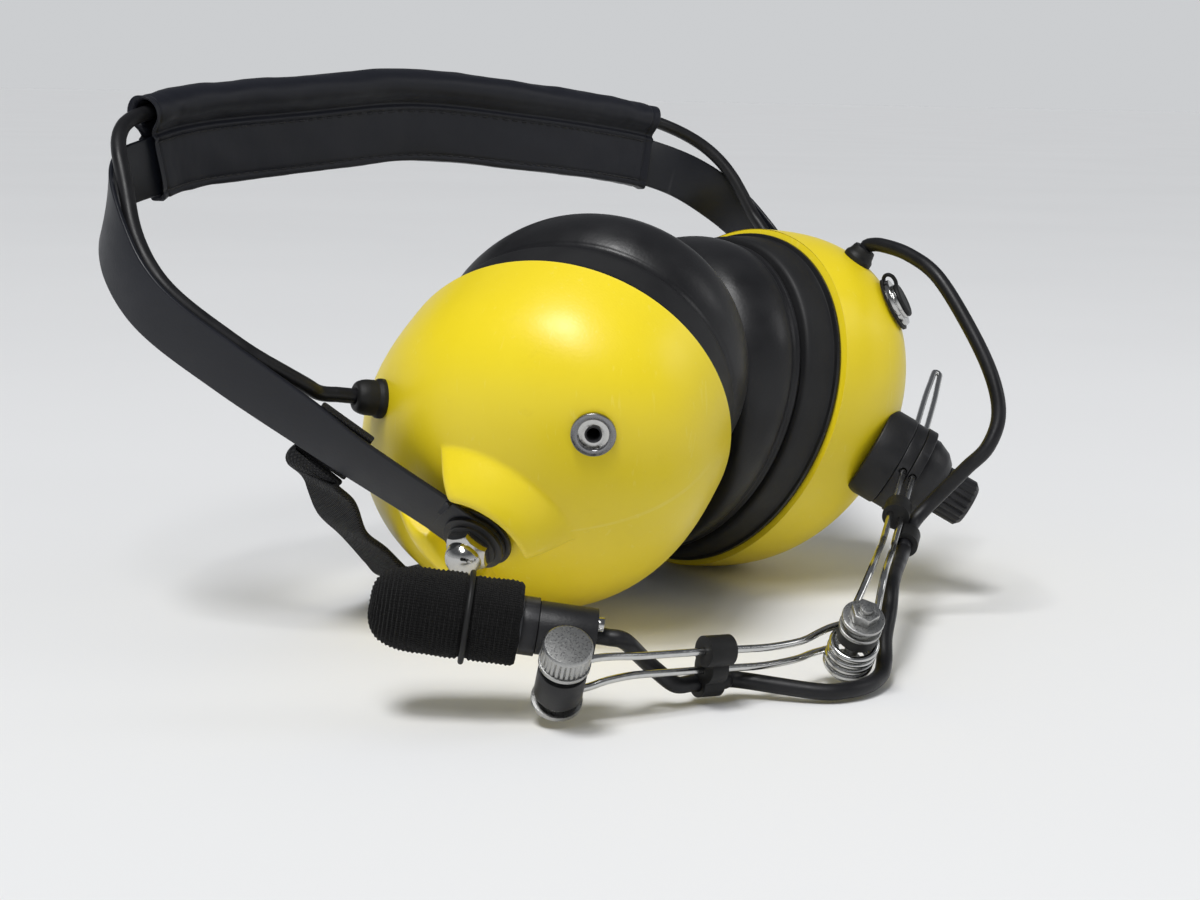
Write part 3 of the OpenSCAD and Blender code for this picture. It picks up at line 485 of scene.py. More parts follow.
def webbing():
    k = Look("webbing", 0.78, spec=0.2, sheen=0.06)
    weave = k.math("ABSOLUTE", k.math("SUBTRACT", k.wave(330, "Y"), k.wave(260, "X")))
    k.colour(k.mix(k.range(weave, 0, 1, 0, 1), (0.003, 0.003, 0.0035), (0.015, 0.015, 0.017)))
    k.rough(k.noise(400, 4), 0.7, 0.88)
    k.bump(weave, 0.00035, 0.9)
    k.bump(k.noise(2600, 3), 0.0001, 0.5)
    return k.m


def muff_cloth():
    rib_scale = 1 / 0.00085
    k = Look("muff_cloth", 0.95, spec=0.08, sheen=0.06)
    knit = k.math("ADD", k.math("MULTIPLY", k.wave(rib_scale, "X"), 0.6),
                  k.math("MULTIPLY", k.wave(560, "Y", 0.4), 0.5))
    k.colour(k.ramp(k.math("MULTIPLY", knit, k.noise(1700, 4)),
                    [(0.05, (0.002, 0.002, 0.002)), (0.7, (0.016, 0.0155, 0.0155))]))
    k.bump(knit, 0.0002, 0.7)
    k.bump(k.noise(3200, 4, 0.7), 0.0003, 0.8)
    return k.m


def rubber(name, base, rough):
    k = Look(name, rough, spec=0.32)
    a = k.patchy(140, 5, base, toned(base, 1.8), 0.75)
    k.colour(k.mix(k.range(k.noise(520, 6, 0.7), 0.6, 0.85, 0, 0.35), a, (0.03, 0.03, 0.032)))
    k.rough(k.noise(200, 5), rough - 0.07, rough + 0.1)
    k.bump(k.noise(1800, 3), 0.00005, 0.5)
    return k.m


def band_paint():
    k = Look("band_paint", 0.4, spec=0.36, coat=0.05, coat_rough=0.25)
    a = k.patchy(35, 4, (0.005, 0.006, 0.010), (0.009, 0.010, 0.015))
    # Band edges lightened towards grey: a painted highlight along the edges, broken up by noise.
    wear_and_highlight = k.math("MULTIPLY", k.edges(0.56, 0.7), k.noise(300, 5, 0.7))
    k.colour(k.mix(k.math("MULTIPLY", wear_and_highlight, 0.7), a, (0.16, 0.16, 0.17)))
    k.rough(k.noise(110, 6, 0.6), 0.33, 0.47)
    k.bump(k.noise(1400, 2), 0.00004, 0.6)
    return k.m


def metal(name, base, rough, scale=900, grit=0.08):
    k = Look(name, rough, metal=1.0)
    grain = k.noise(scale, 4, 0.6)
    a = k.ramp(grain, [(0.3, toned(base, 0.86)), (0.7, base)])
    dull = k.range(k.noise(900, 5, 0.7), 0.55, 0.8, 0, 0.3)
    k.colour(k.mix(dull, a, toned(base, 0.62)))
    k.rough(grain, max(0.05, rough - 0.06), rough + 0.09)
    k.bump(grain, 0.00003, grit)
    return k.m


MATS = {
    "shell": yellow_shell(),
    "black_plastic": plastic("black_plastic", (0.009, 0.009, 0.010), 0.42, 2600),
    "grey_plastic": plastic("grey_plastic", (0.05, 0.05, 0.053), 0.5, 2000),
    "cushion_vinyl": vinyl(),
    "plate_gloss": plate_look(),
    "foam": foam(),
    "sleeve_fabric": sleeve_cloth(),
    "webbing": webbing(),
    "muff_fabric": muff_cloth(),
    "cable_rubber": rubber("cable_rubber", (0.007, 0.007, 0.008), 0.4),
    "black_rubber": rubber("black_rubber", (0.006, 0.006, 0.006), 0.52),
    "band_steel": band_paint(),
    "bright_metal": metal("bright_metal", (0.57, 0.565, 0.55), 0.12),
    "satin_metal": metal("satin_metal", (0.46, 0.46, 0.45), 0.30, scale=2600, grit=0.2),
    "dark_metal": metal("dark_metal", (0.26, 0.26, 0.27), 0.25),
    "wire": metal("wire_metal", (0.62, 0.62, 0.61), 0.17),
    "thread": rubber("thread", (0.02, 0.02, 0.022), 0.8),
}


def dress(obj, body, material, node=None):
    """Gives a piece its material, its body and the CAD node that it stands for."""
    obj.data.materials.clear()
    obj.data.materials.append(MATS[material])
    if body:
        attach(obj, body)
    if node:
        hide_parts(node)
    return obj


def piece(name, parts, body, material, node=None, sharp=None):
    return dress(mesh_of(name, parts, sharp), body, material, node)


# ---- Ear shells
def dome_w(f):
    """Share of the dome's height at share f of the way out to the rim."""
    return np.maximum(0, 1 - np.abs(f) ** DOME_ROUND) ** (1 / DOME_SQUARE)


def dome(a, f, cut=0.0):
    """Points of the dome at a degrees round it, cut millimetres in from its surface."""
    a, f = np.broadcast_arrays(np.radians(a), np.asarray(f, float))
    w = dome_w(f)
    r = (CUP_LONG * (1 + DOME_FLARE * w) - cut) * f
    return np.stack([(r * CUP_RATIO - cut * (1 - CUP_RATIO) * f) * np.cos(a),
                     r * np.sin(a), (DOME_H - cut) * w], -1)


def dome_normal(a, f):
    return unit(np.cross(dome(a + 1, f) - dome(a - 1, f), dome(a, f - 0.01) - dome(a, f + 0.01)))


def on_dome(side, at):
    return in_cup(side, dome(*at)), cup_dir(side, dome_normal(*at))


def lobe(x, y):
    """Height of the two lobes above the dome; the one on the side of negative y is lower and longer."""
    t = np.clip((np.hypot(x, y) - RECESS_R) / np.where(y < 0, 13.0, 10.2), 0, 1)
    a = np.degrees(np.arctan2(np.abs(y), np.abs(x)))
    return LOBE_H * np.where(y < 0, 0.82, 1.0) * step(8, 22, a) * (1 - t ** 2.2) ** 1.25


def softmin(a, b, k):
    h = np.clip(0.5 + 0.5 * (b - a) / k, 0, 1)
    return lerp(b, a, h) - k * h * (1 - h)


# Walls of the bow-tie recess: half width, then start and slope by the band and across from it
WALLS = {-1: ((7.6, (11, 0.42), (11.2, 1.25)), (9.8, (8.5, 0.6), (7.2, 0.996))),
         1: ((7.6, (9.7, 1.103), (9.7, 1.103)), (10.6, (6.5, 0.996), (6.5, 0.996)))}
ROLL = 3.6


def recess_depth(side, x, y):
    """Distance outside the bow-tie recess, negative inside it."""
    out = []
    for sign, (half, near, far) in zip((1, -1), WALLS[side]):
        start = np.where(x > 0, near[0], far[0])
        slope = np.where(x > 0, near[1], far[1])
        v = sign * y - half
        out.append(np.minimum(v, (v - slope * (np.abs(x) - start)) / np.sqrt(1 + slope ** 2)))
    return softmin(np.maximum(*out), np.hypot(x, y) - RECESS_R, 1.2)


def lobed_height(side, x, y, z):
    """Dome height with its lobes, whose edge by the recess is rolled over."""
    d = recess_depth(side, x, y)
    roll = np.sqrt(np.clip(1 - (1 - np.clip(d / ROLL, 0, 1)) ** 2, 0, 1))
    return z + lobe(x, y) * step(-0.25, 0.35, d) * (0.45 + 0.55 * roll)


def column_angles(n):
    """Turns of the shell's columns, closer together where the lobes end."""
    a = np.linspace(0, 360, 3601)[:-1]
    folded = np.where((a > 90) & (a < 270), 180 - a, np.where(a >= 270, a - 360, a))
    dense = (1 + 2.2 * step(14, 26, folded) * (1 - step(44, 60, folded))
             + 2.2 * step(-68, -54, folded) * (1 - step(-38, -24, folded)))
    total = np.concatenate([[0], np.cumsum(dense)])
    return np.interp(np.linspace(0, total[-1], n, endpoint=False), total, np.append(a, 360))


def cup_part(side, rings, flip, closed=True):
    """Part given in its cup's own frame, which is its surface coordinate too."""
    return part(in_cup(side, rings), rings * MM, closed, flip)


def carve(obj, cutter, sharp):
    """Takes the cutter's space out of a mesh, and leaves no modifier behind."""
    m = obj.modifiers.new("carve", "BOOLEAN")
    m.operation, m.solver, m.object = "DIFFERENCE", "EXACT", cutter
    done = bpy.data.meshes.new_from_object(
        obj.evaluated_get(bpy.context.evaluated_depsgraph_get()))
    obj.modifiers.clear()
    obj.data = done
    done.set_sharp_from_angle(angle=deg(sharp))
    bpy.data.objects.remove(cutter)


def ear_shell(side, word):
    ang = column_angles(480)
    hole_r, jack_r, sharp = 4.7, 3.55, 48
    w = np.linspace(0.7287, 0.45 / DOME_H, 36)
    f = np.concatenate([np.arange(0.14, 0.40, 0.0072), np.arange(0.40, 0.785, 0.013),
                        (1 - w ** DOME_SQUARE) ** (1 / DOME_ROUND)])
    outer = dome(ang[None, :], f[:, None])
    rad = np.radians(ang)
    hole = np.stack([hole_r * np.cos(rad), hole_r * np.sin(rad), np.zeros(len(ang))], -1)
    start = []
    for t in np.linspace(0, 1, 7)[:-1]:
        p = lerp(hole, outer[0], t)
        r = np.hypot(p[:, 0] / CUP_RATIO, p[:, 1])
        g = r / (CUP_LONG * (1 + DOME_FLARE))
        for _ in range(3):
            g = r / (CUP_LONG * (1 + DOME_FLARE * dome_w(g)))
        p[:, 2] = DOME_H * dome_w(g)
        start.append(p)
    outer = np.concatenate([np.array(start), outer])
    outer[..., 2] = lobed_height(side, *np.moveaxis(outer, -1, 0))
    # a small rounded lip at the rim, then the inside and the stud's hole
    lip = outer[-1] * vec(0.997, 0.997, 1) + vec(0, 0, 0.12)
    low = outer[-1] * vec(0.991, 0.992, 1)
    inner = dome(ang[None, :], np.cos(np.radians(np.linspace(0, 84, 14)))[:, None], SHELL_WALL)
    tip = hole + vec(0, 0, DOME_H - SHELL_WALL - 0.6)
    neck = hole + vec(0, 0, DOME_H - 0.7)
    rings = np.concatenate([outer, lip[None], low[None], inner, tip[None], neck[None]])
    obj = mesh_of(f"{word}_shell", [cup_part(side, rings, side > 0)], sharp)
    if side < 0:
        bore = lathe_rings(frame_at(*on_dome(side, JACK_AT)), [(jack_r, -9), (jack_r, 6)])
        carve(obj, mesh_of("cutter", [part(bore[0])]), sharp)
    dress(obj, f"{word}_cup", "shell", f"{word}_ear_shell")


for side, word in SIDES:
    ear_shell(side, word)

# ---- Seal plates, liners and cushions
PLATE_LONG = CUP_LONG - 1.5
# Inset and height
PLATE = [(0.25, -0.02), (21, -0.02), (21, -PLATE_H), (3.1, -PLATE_H), (2.4, -PLATE_H + 0.25),
         (2.0, -PLATE_H + 0.8), (1.75, -PLATE_H + 1.8), (1.4, -5.0), (1.15, -3.0), (1.05, -1.75),
         (0.95, -1.6), (0.4, -1.5), (0.12, -1.38), (0.0, -1.1), (0.0, -0.5), (0.07, -0.2)]
# Share of the way from hole to rim, and of the cushion's height
SECTION = [(0.97, 0), (1.07, 0.13), (1.12, 0.34), (1.08, 0.57), (0.96, 0.79), (0.77, 0.94),
           (0.54, 1), (0.30, 0.96), (0.11, 0.82), (0.02, 0.6), (0, 0.3), (0.03, 0)]
CUSHION_SHORT = CUSHION_LONG * CUP_RATIO
HOLE_LONG, HOLE_SHORT = CUSHION_LONG - 17, CUSHION_SHORT - 17
# Direction of the other cup, as this cup sees it
press = turned(vec(1, 0, 0), (CUP_FACE, "z"), (-CUP_LEAN, "y"), (-CUP_SPIN, "z"))


def oval(short, long, z, n):
    ang = circle(n)
    return np.stack([short * np.cos(ang), long * np.sin(ang), np.full(n, float(z))], -1)


def seal_plate(side, word):
    rings = np.array([oval((PLATE_LONG - inset) * CUP_RATIO, PLATE_LONG - inset, z, 160)
                      for inset, z in PLATE])
    piece(f"{word}_plate", [cup_part(side, rings, side < 0)], f"{word}_cup", "plate_gloss",
          f"{word}_seal_plate", 40)


def ear_cushion(side, word):
    """Crowned ring that is pressed flat where it meets the other cushion."""
    sec = spline(SECTION, 8, closed=True)
    share, depth = sec[:, 0][None], np.clip(sec[:, 1], 0, 1.002)[None]
    ang = circle(240)
    c, s = np.cos(ang)[:, None], np.sin(ang)[:, None]
    x = lerp(HOLE_SHORT, CUSHION_SHORT, share) * c
    y = lerp(HOLE_LONG, CUSHION_LONG, share) * s
    free = (CUP_GAP - 0.3 + press[0] * x + press[1] * y) / press[2] - PLATE_H
    d = depth * CUSHION_H
    d = d * free / (d ** 6 + free ** 6) ** (1 / 6)
    pts = np.stack([x, y, -PLATE_H - d], -1)
    # seams and small folds, pressed into the wall
    inward = -np.stack(np.broadcast_arrays(c, s, 0 * x), -1)
    inward = inward * np.where(share > 0.5, 1, -1)[..., None]
    double = sum(np.exp(-((depth - at) / 0.011) ** 2) for at in (0.085, 0.135))
    seam = np.where(share > 0.8, double, 0) * 0.4
    lines = 0.5 + 0.5 * np.sin(ang * 58 + 2.2 * np.sin(ang * 7) + side)[:, None]
    outer = np.exp(-np.abs(depth - 0.12) / 0.12) * (share > 0.8)
    inner = np.exp(-np.abs(depth - 0.5) / 0.3) * (share < 0.2)
    folds = 0.04 * lines * outer + 0.35 * lines * inner
    soft = (wobble(pts, 0.045, 3.1 * side).reshape(x.shape) * 0.2 + 0.2) * (share > 0.5)
    pts = pts + inward * (seam + folds + soft * np.sqrt(np.clip(1 - depth, 0, 1)))[..., None]
    piece(f"{word}_cushion", [cup_part(side, pts, side > 0)], f"{word}_cup",
                    "cushion_vinyl", f"{word}_ear_cushion")


def foam_liner(side, word):
    n, edge = 120, 0.6
    rows = [(1 - t, -PLATE_H - 4 + 0.9 * t ** 4) for t in np.linspace(0.04, 1, 14)]
    rows += [(0.0, -PLATE_H - 0.1), (0.96, -PLATE_H - 0.1)]
    rings = np.array([oval((HOLE_SHORT - edge) * (1 - u), (HOLE_LONG - edge) * (1 - u), z, n)
                      for u, z in rows])
    rings[:13, :, 2] += 0.25 * wobble(rings[:13], 0.45).reshape(13, n) + 0.1
    piece(f"{word}_liner", [cup_part(side, rings, side > 0, closed=False)],
                    f"{word}_cup", "foam", f"{word}_foam_liner")


for side, word in SIDES:
    seal_plate(side, word)
    ear_cushion(side, word)
    foam_liner(side, word)

# ---- Neck band
PAD_Z = DOME_H + 2.2
PAD_R, PAD_HOLE_R = 7.5, 3.1
END_TURN = {-1: 3, 1: 19}
band_normal = vec(0, -math.sin(deg(44)), math.cos(deg(44)))
end_width = {side: cup_dir(side, vec(math.sin(deg(a)), math.cos(deg(a)), 0))
             for side, a in END_TURN.items()}


def flat_end(side, *radii):
    """Points of the band's straight end, out from the pivot."""
    a = deg(END_TURN[side])
    return [in_cup(side, vec(r * math.cos(a), -r * math.sin(a), PAD_Z + BAND_T / 2)) for r in radii]


band_route = (flat_end(-1, 0, 4.6, 9.2, 12.2)
              + route(
                  (-88, 10.5, 44), (-95.5, 19, 52), (-106.5, 30.5, 63), (-115.5, 41, 73),
                  (-118.8, 48.5, 80.5), (-117.5, 57.5, 89), (-112.5, 66.5, 97.5),
                  (-104.5, 72.5, 103.5), (-93, 75.8, 106.5), (-75.5, 79, 109.5),
                  (-41.5, 81.5, 112), (0, 84, 114.5), (41, 80.5, 111.5), (71, 77.5, 108.3),
                  (88, 74.8, 105.5), (102, 69.5, 100.5), (111, 61, 92.5), (114, 51, 83),
                  (108, 38, 73.5), (97, 24, 63), (86, 8, 51))
              + flat_end(1, 12.2, 9.2, 4.6, 0))
BAND_LAST = 84
SLEEVE_FROM, SLEEVE_TO = 36, 54


def sleeve_share(i, lead):
    """1 along the sleeve, fading to 0 over lead places before it and 9 after it."""
    return step(SLEEVE_FROM - lead, SLEEVE_FROM, i) * (1 - step(SLEEVE_TO, SLEEVE_TO + 9, i))


class Band:
    """Frames along the band; places are counted in the source's own steps."""

    def __init__(self, k):
        self.path = spline(band_route, k)
        self.per = k / 3
        self.t = tangents(self.path)

    def at(self, i):
        """Point, outward, across and along."""
        j = min(int(i * self.per + 1e-6), len(self.path) - 2)
        share = i * self.per - j
        p = lerp(self.path[j], self.path[j + 1], share)
        t = unit(lerp(self.t[j], self.t[j + 1], share))
        left, right = 1 - step(9, 18, i), 1 - step(9, 18, BAND_LAST - i)
        neck = sleeve_share(i, 10)
        up_dir = vec(lerp(-0.2, 0.4, (i - SLEEVE_FROM) / (SLEEVE_TO - SLEEVE_FROM)), 0, 0.95)
        v = (band_normal * (1 - left - right - neck) + up_dir * neck
             + end_width[-1] * left + end_width[1] * right)
        w = unit(v - t * (v @ t))
        return p, -np.cross(t, w), w, t

    def places(self, steps):
        return [self.at(i)[:3] for i in steps]

    def point(self, i, o, w):
        p, out, wide = self.at(i)[:3]
        return p + out * o + wide * w


coarse, fine = Band(3), Band(24)


def flat_section(t, w, r, n=5):
    """Rounded strip section, t thick outwards and w wide."""
    return np.array([[cx + r * math.cos(a), cy + r * math.sin(a)]
                     for cx, cy, a0 in ((t / 2 - r, w / 2 - r, 0), (-t / 2 + r, w / 2 - r, 90),
                                        (-t / 2 + r, -w / 2 + r, 180), (t / 2 - r, -w / 2 + r, 270))
                     for a in [deg(a0 + 90 * i / (n - 1)) for i in range(n)]])


strip = flat_section(BAND_T - 0.04, BAND_W, 0.45, 4)
pads = [lathe_rings(frame_at(in_cup(side, vec(0, 0, 0)), cup_dir(side, vec(0, 0, 1))), [
    (PAD_HOLE_R, PAD_Z), (PAD_R - 0.3, PAD_Z), (PAD_R, PAD_Z + 0.25),
    (PAD_R, PAD_Z + BAND_T - 0.25), (PAD_R - 0.3, PAD_Z + BAND_T),
    (PAD_HOLE_R, PAD_Z + BAND_T)], 72) for side, _ in SIDES]
band = [part(*swept(fine.places(np.linspace(0, BAND_LAST, 340)), strip, run_of(strip)))]
band += [part(*pad, closed=True) for pad in pads]
piece("band", band, "headband", "band_steel", "band_spring", sharp=45)

# ---- Neck sleeve: a pocket for the band with the cable's roll above it
pocket_low = -BAND_W / 2 - 1.3
pocket_top = BAND_W / 2 + 0.6
roll_r = (SLEEVE_H + pocket_low - pocket_top - 0.8) / 2
roll_at = pocket_low + SLEEVE_H - roll_r
# Millimetres of the sleeve to each of the band's steps
SLEEVE_STEP = 9.8


def sleeve_section(wall):
    pts = [[-1.7 + wall, pocket_top + 1], [-2.1 + wall, pocket_top],
           [-2.1 + wall, pocket_low + wall], [2.1 - wall, pocket_low + wall],
           [2.1 - wall, pocket_top], [1.7 - wall, pocket_top + 1]]
    for i in range(19):
        a = deg(-50 + 280 * i / 18)
        pts.append([(roll_r - wall) * math.cos(a), roll_at + (roll_r - wall) * math.sin(a)])
    return np.array(pts)


def bell(x, at, width):
    return math.exp(-((x - at) / width) ** 2)


def sleeve_relief(run, o, w):
    """How far the cloth stands out at run along the sleeve and (o, w) of its section."""
    wide = rough_at(run * 0.11, o * 0.3, w * 0.16)
    small = rough_at(run * 0.35, o * 0.6 + 9, w * 0.22)
    amount = 0.42 * wide + 0.08 * small
    if w < pocket_top:
        amount = 0.3 * wide + 0.06 * small + 0.28 * math.sin(
            math.pi * (w - pocket_low) / (pocket_top - pocket_low)) - 0.25
    edge = min(run, (SLEEVE_TO - SLEEVE_FROM) * SLEEVE_STEP - run)
    hem = bell(edge, 0, 2.2) * 0.35 - bell(edge, 4.2, 0.5) * 0.3
    seam = -0.5 * bell(w, pocket_top + 0.2, 0.45)
    ridge = 0.45 * bell(w, pocket_top - 1.1, 0.5)
    low = -0.28 * bell(w, pocket_low + 2.1, 0.35)
    return amount * 0.8 + hem + seam + ridge + low - 0.1


def neck_sleeve(count=300):
    out_sec = softened(sleeve_section(0), 0.42, 5, closed=True)
    in_sec = softened(sleeve_section(1), 0.42, 3, closed=True)
    in_sec = in_sec[np.linspace(0, len(in_sec) - 1, len(out_sec)).astype(int)]
    normal = outward(np.roll(out_sec, -1, axis=0) - np.roll(out_sec, 1, axis=0))
    place = np.linspace(SLEEVE_FROM, SLEEVE_TO, count)
    relief = np.array([[sleeve_relief((a - SLEEVE_FROM) * SLEEVE_STEP, o, w) for o, w in out_sec]
                       for a in place])
    rings = np.vstack([rings_at(fine.places(place), out_sec + normal * relief[..., None]),
                       rings_at(fine.places(place[::-1][::6]), in_sec)])
    piece("sleeve", [part(rings, rings * MM, closed=True)], "headband",
                    "sleeve_fabric", "neck_sleeve")
    # stitches along the ridge and along the low hem, on both faces
    thread = []
    for row, face in ((pocket_top - 2.1, 1), (pocket_top - 2.1, -1),
                      (pocket_low + 2.1, 1), (pocket_low + 2.1, -1)):
        j = int(np.argmin(np.abs(out_sec[:, 1] - row) + 100 * (out_sec[:, 0] * face < 0)))
        for i in np.arange(SLEEVE_FROM + 0.5, SLEEVE_TO - 0.5, 0.27):
            p, out, wide, t = fine.at(i)
            k = round((i - SLEEVE_FROM) / (SLEEVE_TO - SLEEVE_FROM) * (count - 1))
            sec = out_sec[j] + normal[j] * (relief[k, j] + 0.02)
            q = p + out * sec[0] + wide * sec[1]
            n = out * normal[j][0] + wide * normal[j][1]
            line = [q + t * a + n * b
                    for a, b in ((-0.95, -0.16), (-0.5, 0.12), (0.5, 0.12), (0.95, -0.16))]
            thread.append(part(*tube_rings(spline(line, 2), 0.42, 6)))
    piece("sleeve_stitches", thread, "headband", "thread")


neck_sleeve()

# ---- Cable between the cups
CROSS_FROM, CROSS_TO, CROSS_STEPS = 18, 63, 4
cross_in = -BAND_T / 2 - CABLE_D / 2 - 0.7
cross_low = BAND_W / 2 - 2


def cross_point(i):
    """Inside the band's edge, then up into the sleeve's roll."""
    s = sleeve_share(i, 9)
    return coarse.point(i, lerp(cross_in, 0, s * s), lerp(cross_low, roll_at, s))


def drop_route(side):
    foot, d = on_dome(side, GLAND_AT)
    top = foot + d * GLAND_H
    i = CROSS_FROM if side < 0 else CROSS_TO
    end = cross_point(i)
    away = unit(end - cross_point(i - side))
    out = coarse.at(i)[1]
    return np.vstack([[foot + d * 4.5], spline([
        top + d * 2.5, top + d * 7, lerp(top + d * 10, end + away * 14, 0.6) - out * 2,
        end + away * 5 - out * 0.5], 4)])


left_drop, right_drop = drop_route(-1), drop_route(1)
cross_line = spline(np.vstack([left_drop,
                               [cross_point(i) for i in range(CROSS_FROM, CROSS_TO + 1)],
                               right_drop[::-1]]), CROSS_STEPS)
cross_a = len(left_drop) * CROSS_STEPS
cross_b = cross_a + (CROSS_TO - CROSS_FROM) * CROSS_STEPS


def cable(name, whole, first, last, node, bodies):
    """Rows first to last of a cable; with a pair of bodies the stretch is attached to neither and baked
    in place.
    """
    rings, coord = tube_rings(whole, CABLE_D, round_ends=False)
    rows = np.append(np.arange(first, last, 1 if last > first else -1), last)
    one_body = isinstance(bodies, str)
    obj = piece(name, [part(rings[rows], coord[rows])], bodies if one_body else None,
                "cable_rubber", node, sharp=60)
    if not one_body:
        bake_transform(obj)
    return obj


def gland(side, at, tall, wide, word):
    """Strain relief; the low one by the microphone cable has no waist."""
    prof = [(0.05, -5), (2.5, -5), (2.55, -0.6), (4.55, -0.6), (4.65, -0.3), (4.65, 0.9),
            (4.5, 1.25), (4.15, 1.4), (4.1, 1.7), (4.2, 1.95), (4.15, tall - 2.6),
            (3.95, tall - 1.6), (3.55, tall - 0.6), (3.1, tall - 0.15), (2.6, tall),
            (2.1, tall - 0.05), (1.85, tall - 0.3), (0.05, tall - 0.5)]
    if tall < 5:
        prof[7:13] = [(3.9, 1.5), (3.6, 2.2), (3.3, tall - 0.7), (3.0, tall - 0.25)]
    prof = [(r if r < 2.6 else 2.55 + (r - 2.55) * wide, z) for r, z in prof]
    body = part(*lathe_rings(frame_at(*on_dome(side, at)), softened(prof), 56))
    piece(f"{word}_gland", [body], "left_cup" if side < 0 else "right_cup", "black_rubber",
          f"{word}_cable_gland", sharp=50)


gland(-1, GLAND_AT, 6.6, 1.0, "left")
gland(1, GLAND_AT, 6.6, 1.0, "right")
gland(1, MIC_GLAND_AT, 3.7, 0.62, "mic")
drops = [cable("left_drop", cross_line, 0, cross_a, "left_cable_drop", ("left_cup", "headband")),
         cable("right_drop", cross_line, len(cross_line) - 1, cross_b, "right_cable_drop",
               ("right_cup", "headband"))]
cable("crossover", cross_line, cross_a, cross_b, "crossover_cable", "headband")

# ---- Overhead strap
STRAP_T, STRAP_ENDS = 1.6, 70
STRAP_LEFT, STRAP_RIGHT = 13, BAND_LAST - 14
STRAP_STEPS = 12
strap_route = ([coarse.point(STRAP_LEFT, 0, -BAND_W / 2 - 1.8),
                coarse.point(STRAP_LEFT, -0.4, -BAND_W / 2 - 5.6)]
               + route(
                   (-82, 24.5, 33), (-74, 29, 24), (-65, 31, 17.5), (-54, 35, 9.5),
                   (-42, 42, 3.4), (-25, 49, 1.1), (0, 53, 0.9), (28, 51, 1.1),
                   (50, 46, 4), (70, 40, 12), (84, 33, 24), (92, 28, 38))
               + [coarse.point(STRAP_RIGHT, -0.4, -BAND_W / 2 - 5.6),
                  coarse.point(STRAP_RIGHT, 0, -BAND_W / 2 - 1.8)])
strap_line = spline(strap_route, STRAP_STEPS)


def webbing_part(places, r, flip=False):
    """Webbing through the places, with its two faces apart in the surface coordinate."""
    sec = flat_section(STRAP_T, STRAP_W, r)
    return part(*swept(places, sec, sec[:, 1] + np.sign(sec[:, 0]) * 40), flip=flip)


def strap_run():
    """The strap lies across the band's run at its ends and level in between."""
    t = tangents(strap_line)
    ends = coarse.at(STRAP_LEFT)[3], coarse.at(STRAP_RIGHT)[3]
    last = (len(strap_route) - 1) * 3
    places = []
    for j, p in enumerate(strap_line):
        i = j * 3 / STRAP_STEPS
        low = step(4, 16, i) * (1 - step(last - 16, last - 4, i))
        v = lerp(ends[0 if i < 20 else 1], vec(0, 1, 0), low)
        w = unit(v - t[j] * (v @ t[j]))
        places.append((p, np.cross(t[j], w), w))
    return webbing_part(places, 0.7)


def strap_tab(at):
    """End of the webbing, folded up flat against the inner face of the band."""
    o = -BAND_T / 2 - 0.15 - STRAP_T / 2
    line = spline([coarse.point(at, o, w) for w in (-BAND_W / 2 - 2.0, -4, 0, 4, 6, 7.2)], 6)
    _, out, _, t = coarse.at(at)
    return webbing_part([(q, out, t) for q in line], 0.6, flip=True)


strap = piece("strap", [strap_run(), strap_tab(STRAP_LEFT), strap_tab(STRAP_RIGHT)], "headband",
              "webbing", "overhead_strap", sharp=60)

# ---- Microphone boom
SPLIT_H, WIRE_GAP, WIRE_OFF = 7.0, 2.8, 3.6
ELBOW_LOOP, TIP_UP, EYE_R = 7.4, 62, 2.5
clamp_foot = in_cup(1, dome(*BOOM_AT))
elbow, mic_joint = route((-34, -91.5, 9.6), (-102.5, -68.2, 10.5))
elbow_axis = unit(vec(-0.362, -0.493, 0.79))
clamp_guess = vec(0.6, -0.66, -0.45)
arm_dir = unit(elbow - (clamp_foot + clamp_guess * SPLIT_H))
clamp_axis = unit(clamp_guess - arm_dir * (clamp_guess @ arm_dir))
clamp_side = np.cross(arm_dir, clamp_axis)
split = clamp_foot + clamp_axis * SPLIT_H + clamp_side * WIRE_OFF
elbow_side = unit(np.cross(elbow_axis, arm_dir))
elbow_in = np.cross(elbow_side, elbow_axis)


def upper_leg(s):
    """Points of one leg of the hairpin, from its tip to the elbow's eye."""
    end = elbow + elbow_axis * ELBOW_LOOP
    pts = [split - arm_dir * TIP_UP, split - arm_dir * (TIP_UP - 0.7) + clamp_axis * s * 0.62]
    for d in range(TIP_UP - 2, -53, -8):
        half = lerp(0.87, WIRE_GAP / 2, min(1, (TIP_UP - d) / 20))
        pts.append(split - arm_dir * d + clamp_axis * s * half)
    pts.append(lerp(split + arm_dir * 52, end - elbow_in * 18, 0.5) + elbow_side * s * 1.4)
    for along, rise, off in ((-17, -0.8, 1.5), (-10, 0, 1.9), (-4, 0, 2.4), (0.1, 0, EYE_R)):
        pts.append(end + elbow_in * along + elbow_axis * rise + elbow_side * s * off)
    return np.array(pts)


def eye(p):
    """Round eye of the wire, with the elbow's axis through it."""
    small = circle(16)
    sec = np.stack([EYE_R + WIRE_D / 2 * np.cos(small), WIRE_D / 2 * np.sin(small)], -1)
    return hoop(frame_at(p, elbow_axis), sec, 48, flip=True)


wire = [part(*tube_rings(spline(upper_leg(s), 8), WIRE_D, 16)) for s in (1, -1)]
wire.append(eye(elbow + elbow_axis * ELBOW_LOOP))
piece("hairpin_wire", wire, "boom_arm", "wire", "upper_boom_wire")

LOWER_BEND = 9
COIL_TOP, LEG_UP, LOOP_TOP, LOOP_LOW = 1.4, 3.2, 4, -5.5
lower_vec = mic_joint - elbow
lower_rise = lower_vec @ elbow_axis
lower_in = unit(lower_vec - elbow_axis * lower_rise)
lower_run = lower_vec @ lower_in
lower_dir = unit(lower_in * (lower_run - 2 * LOWER_BEND) + elbow_axis * lower_rise)
lower_off = np.cross(lower_in, elbow_axis)
coil_r = (COIL_OD - WIRE_D) / 2
coil_pitch = WIRE_D + 0.45


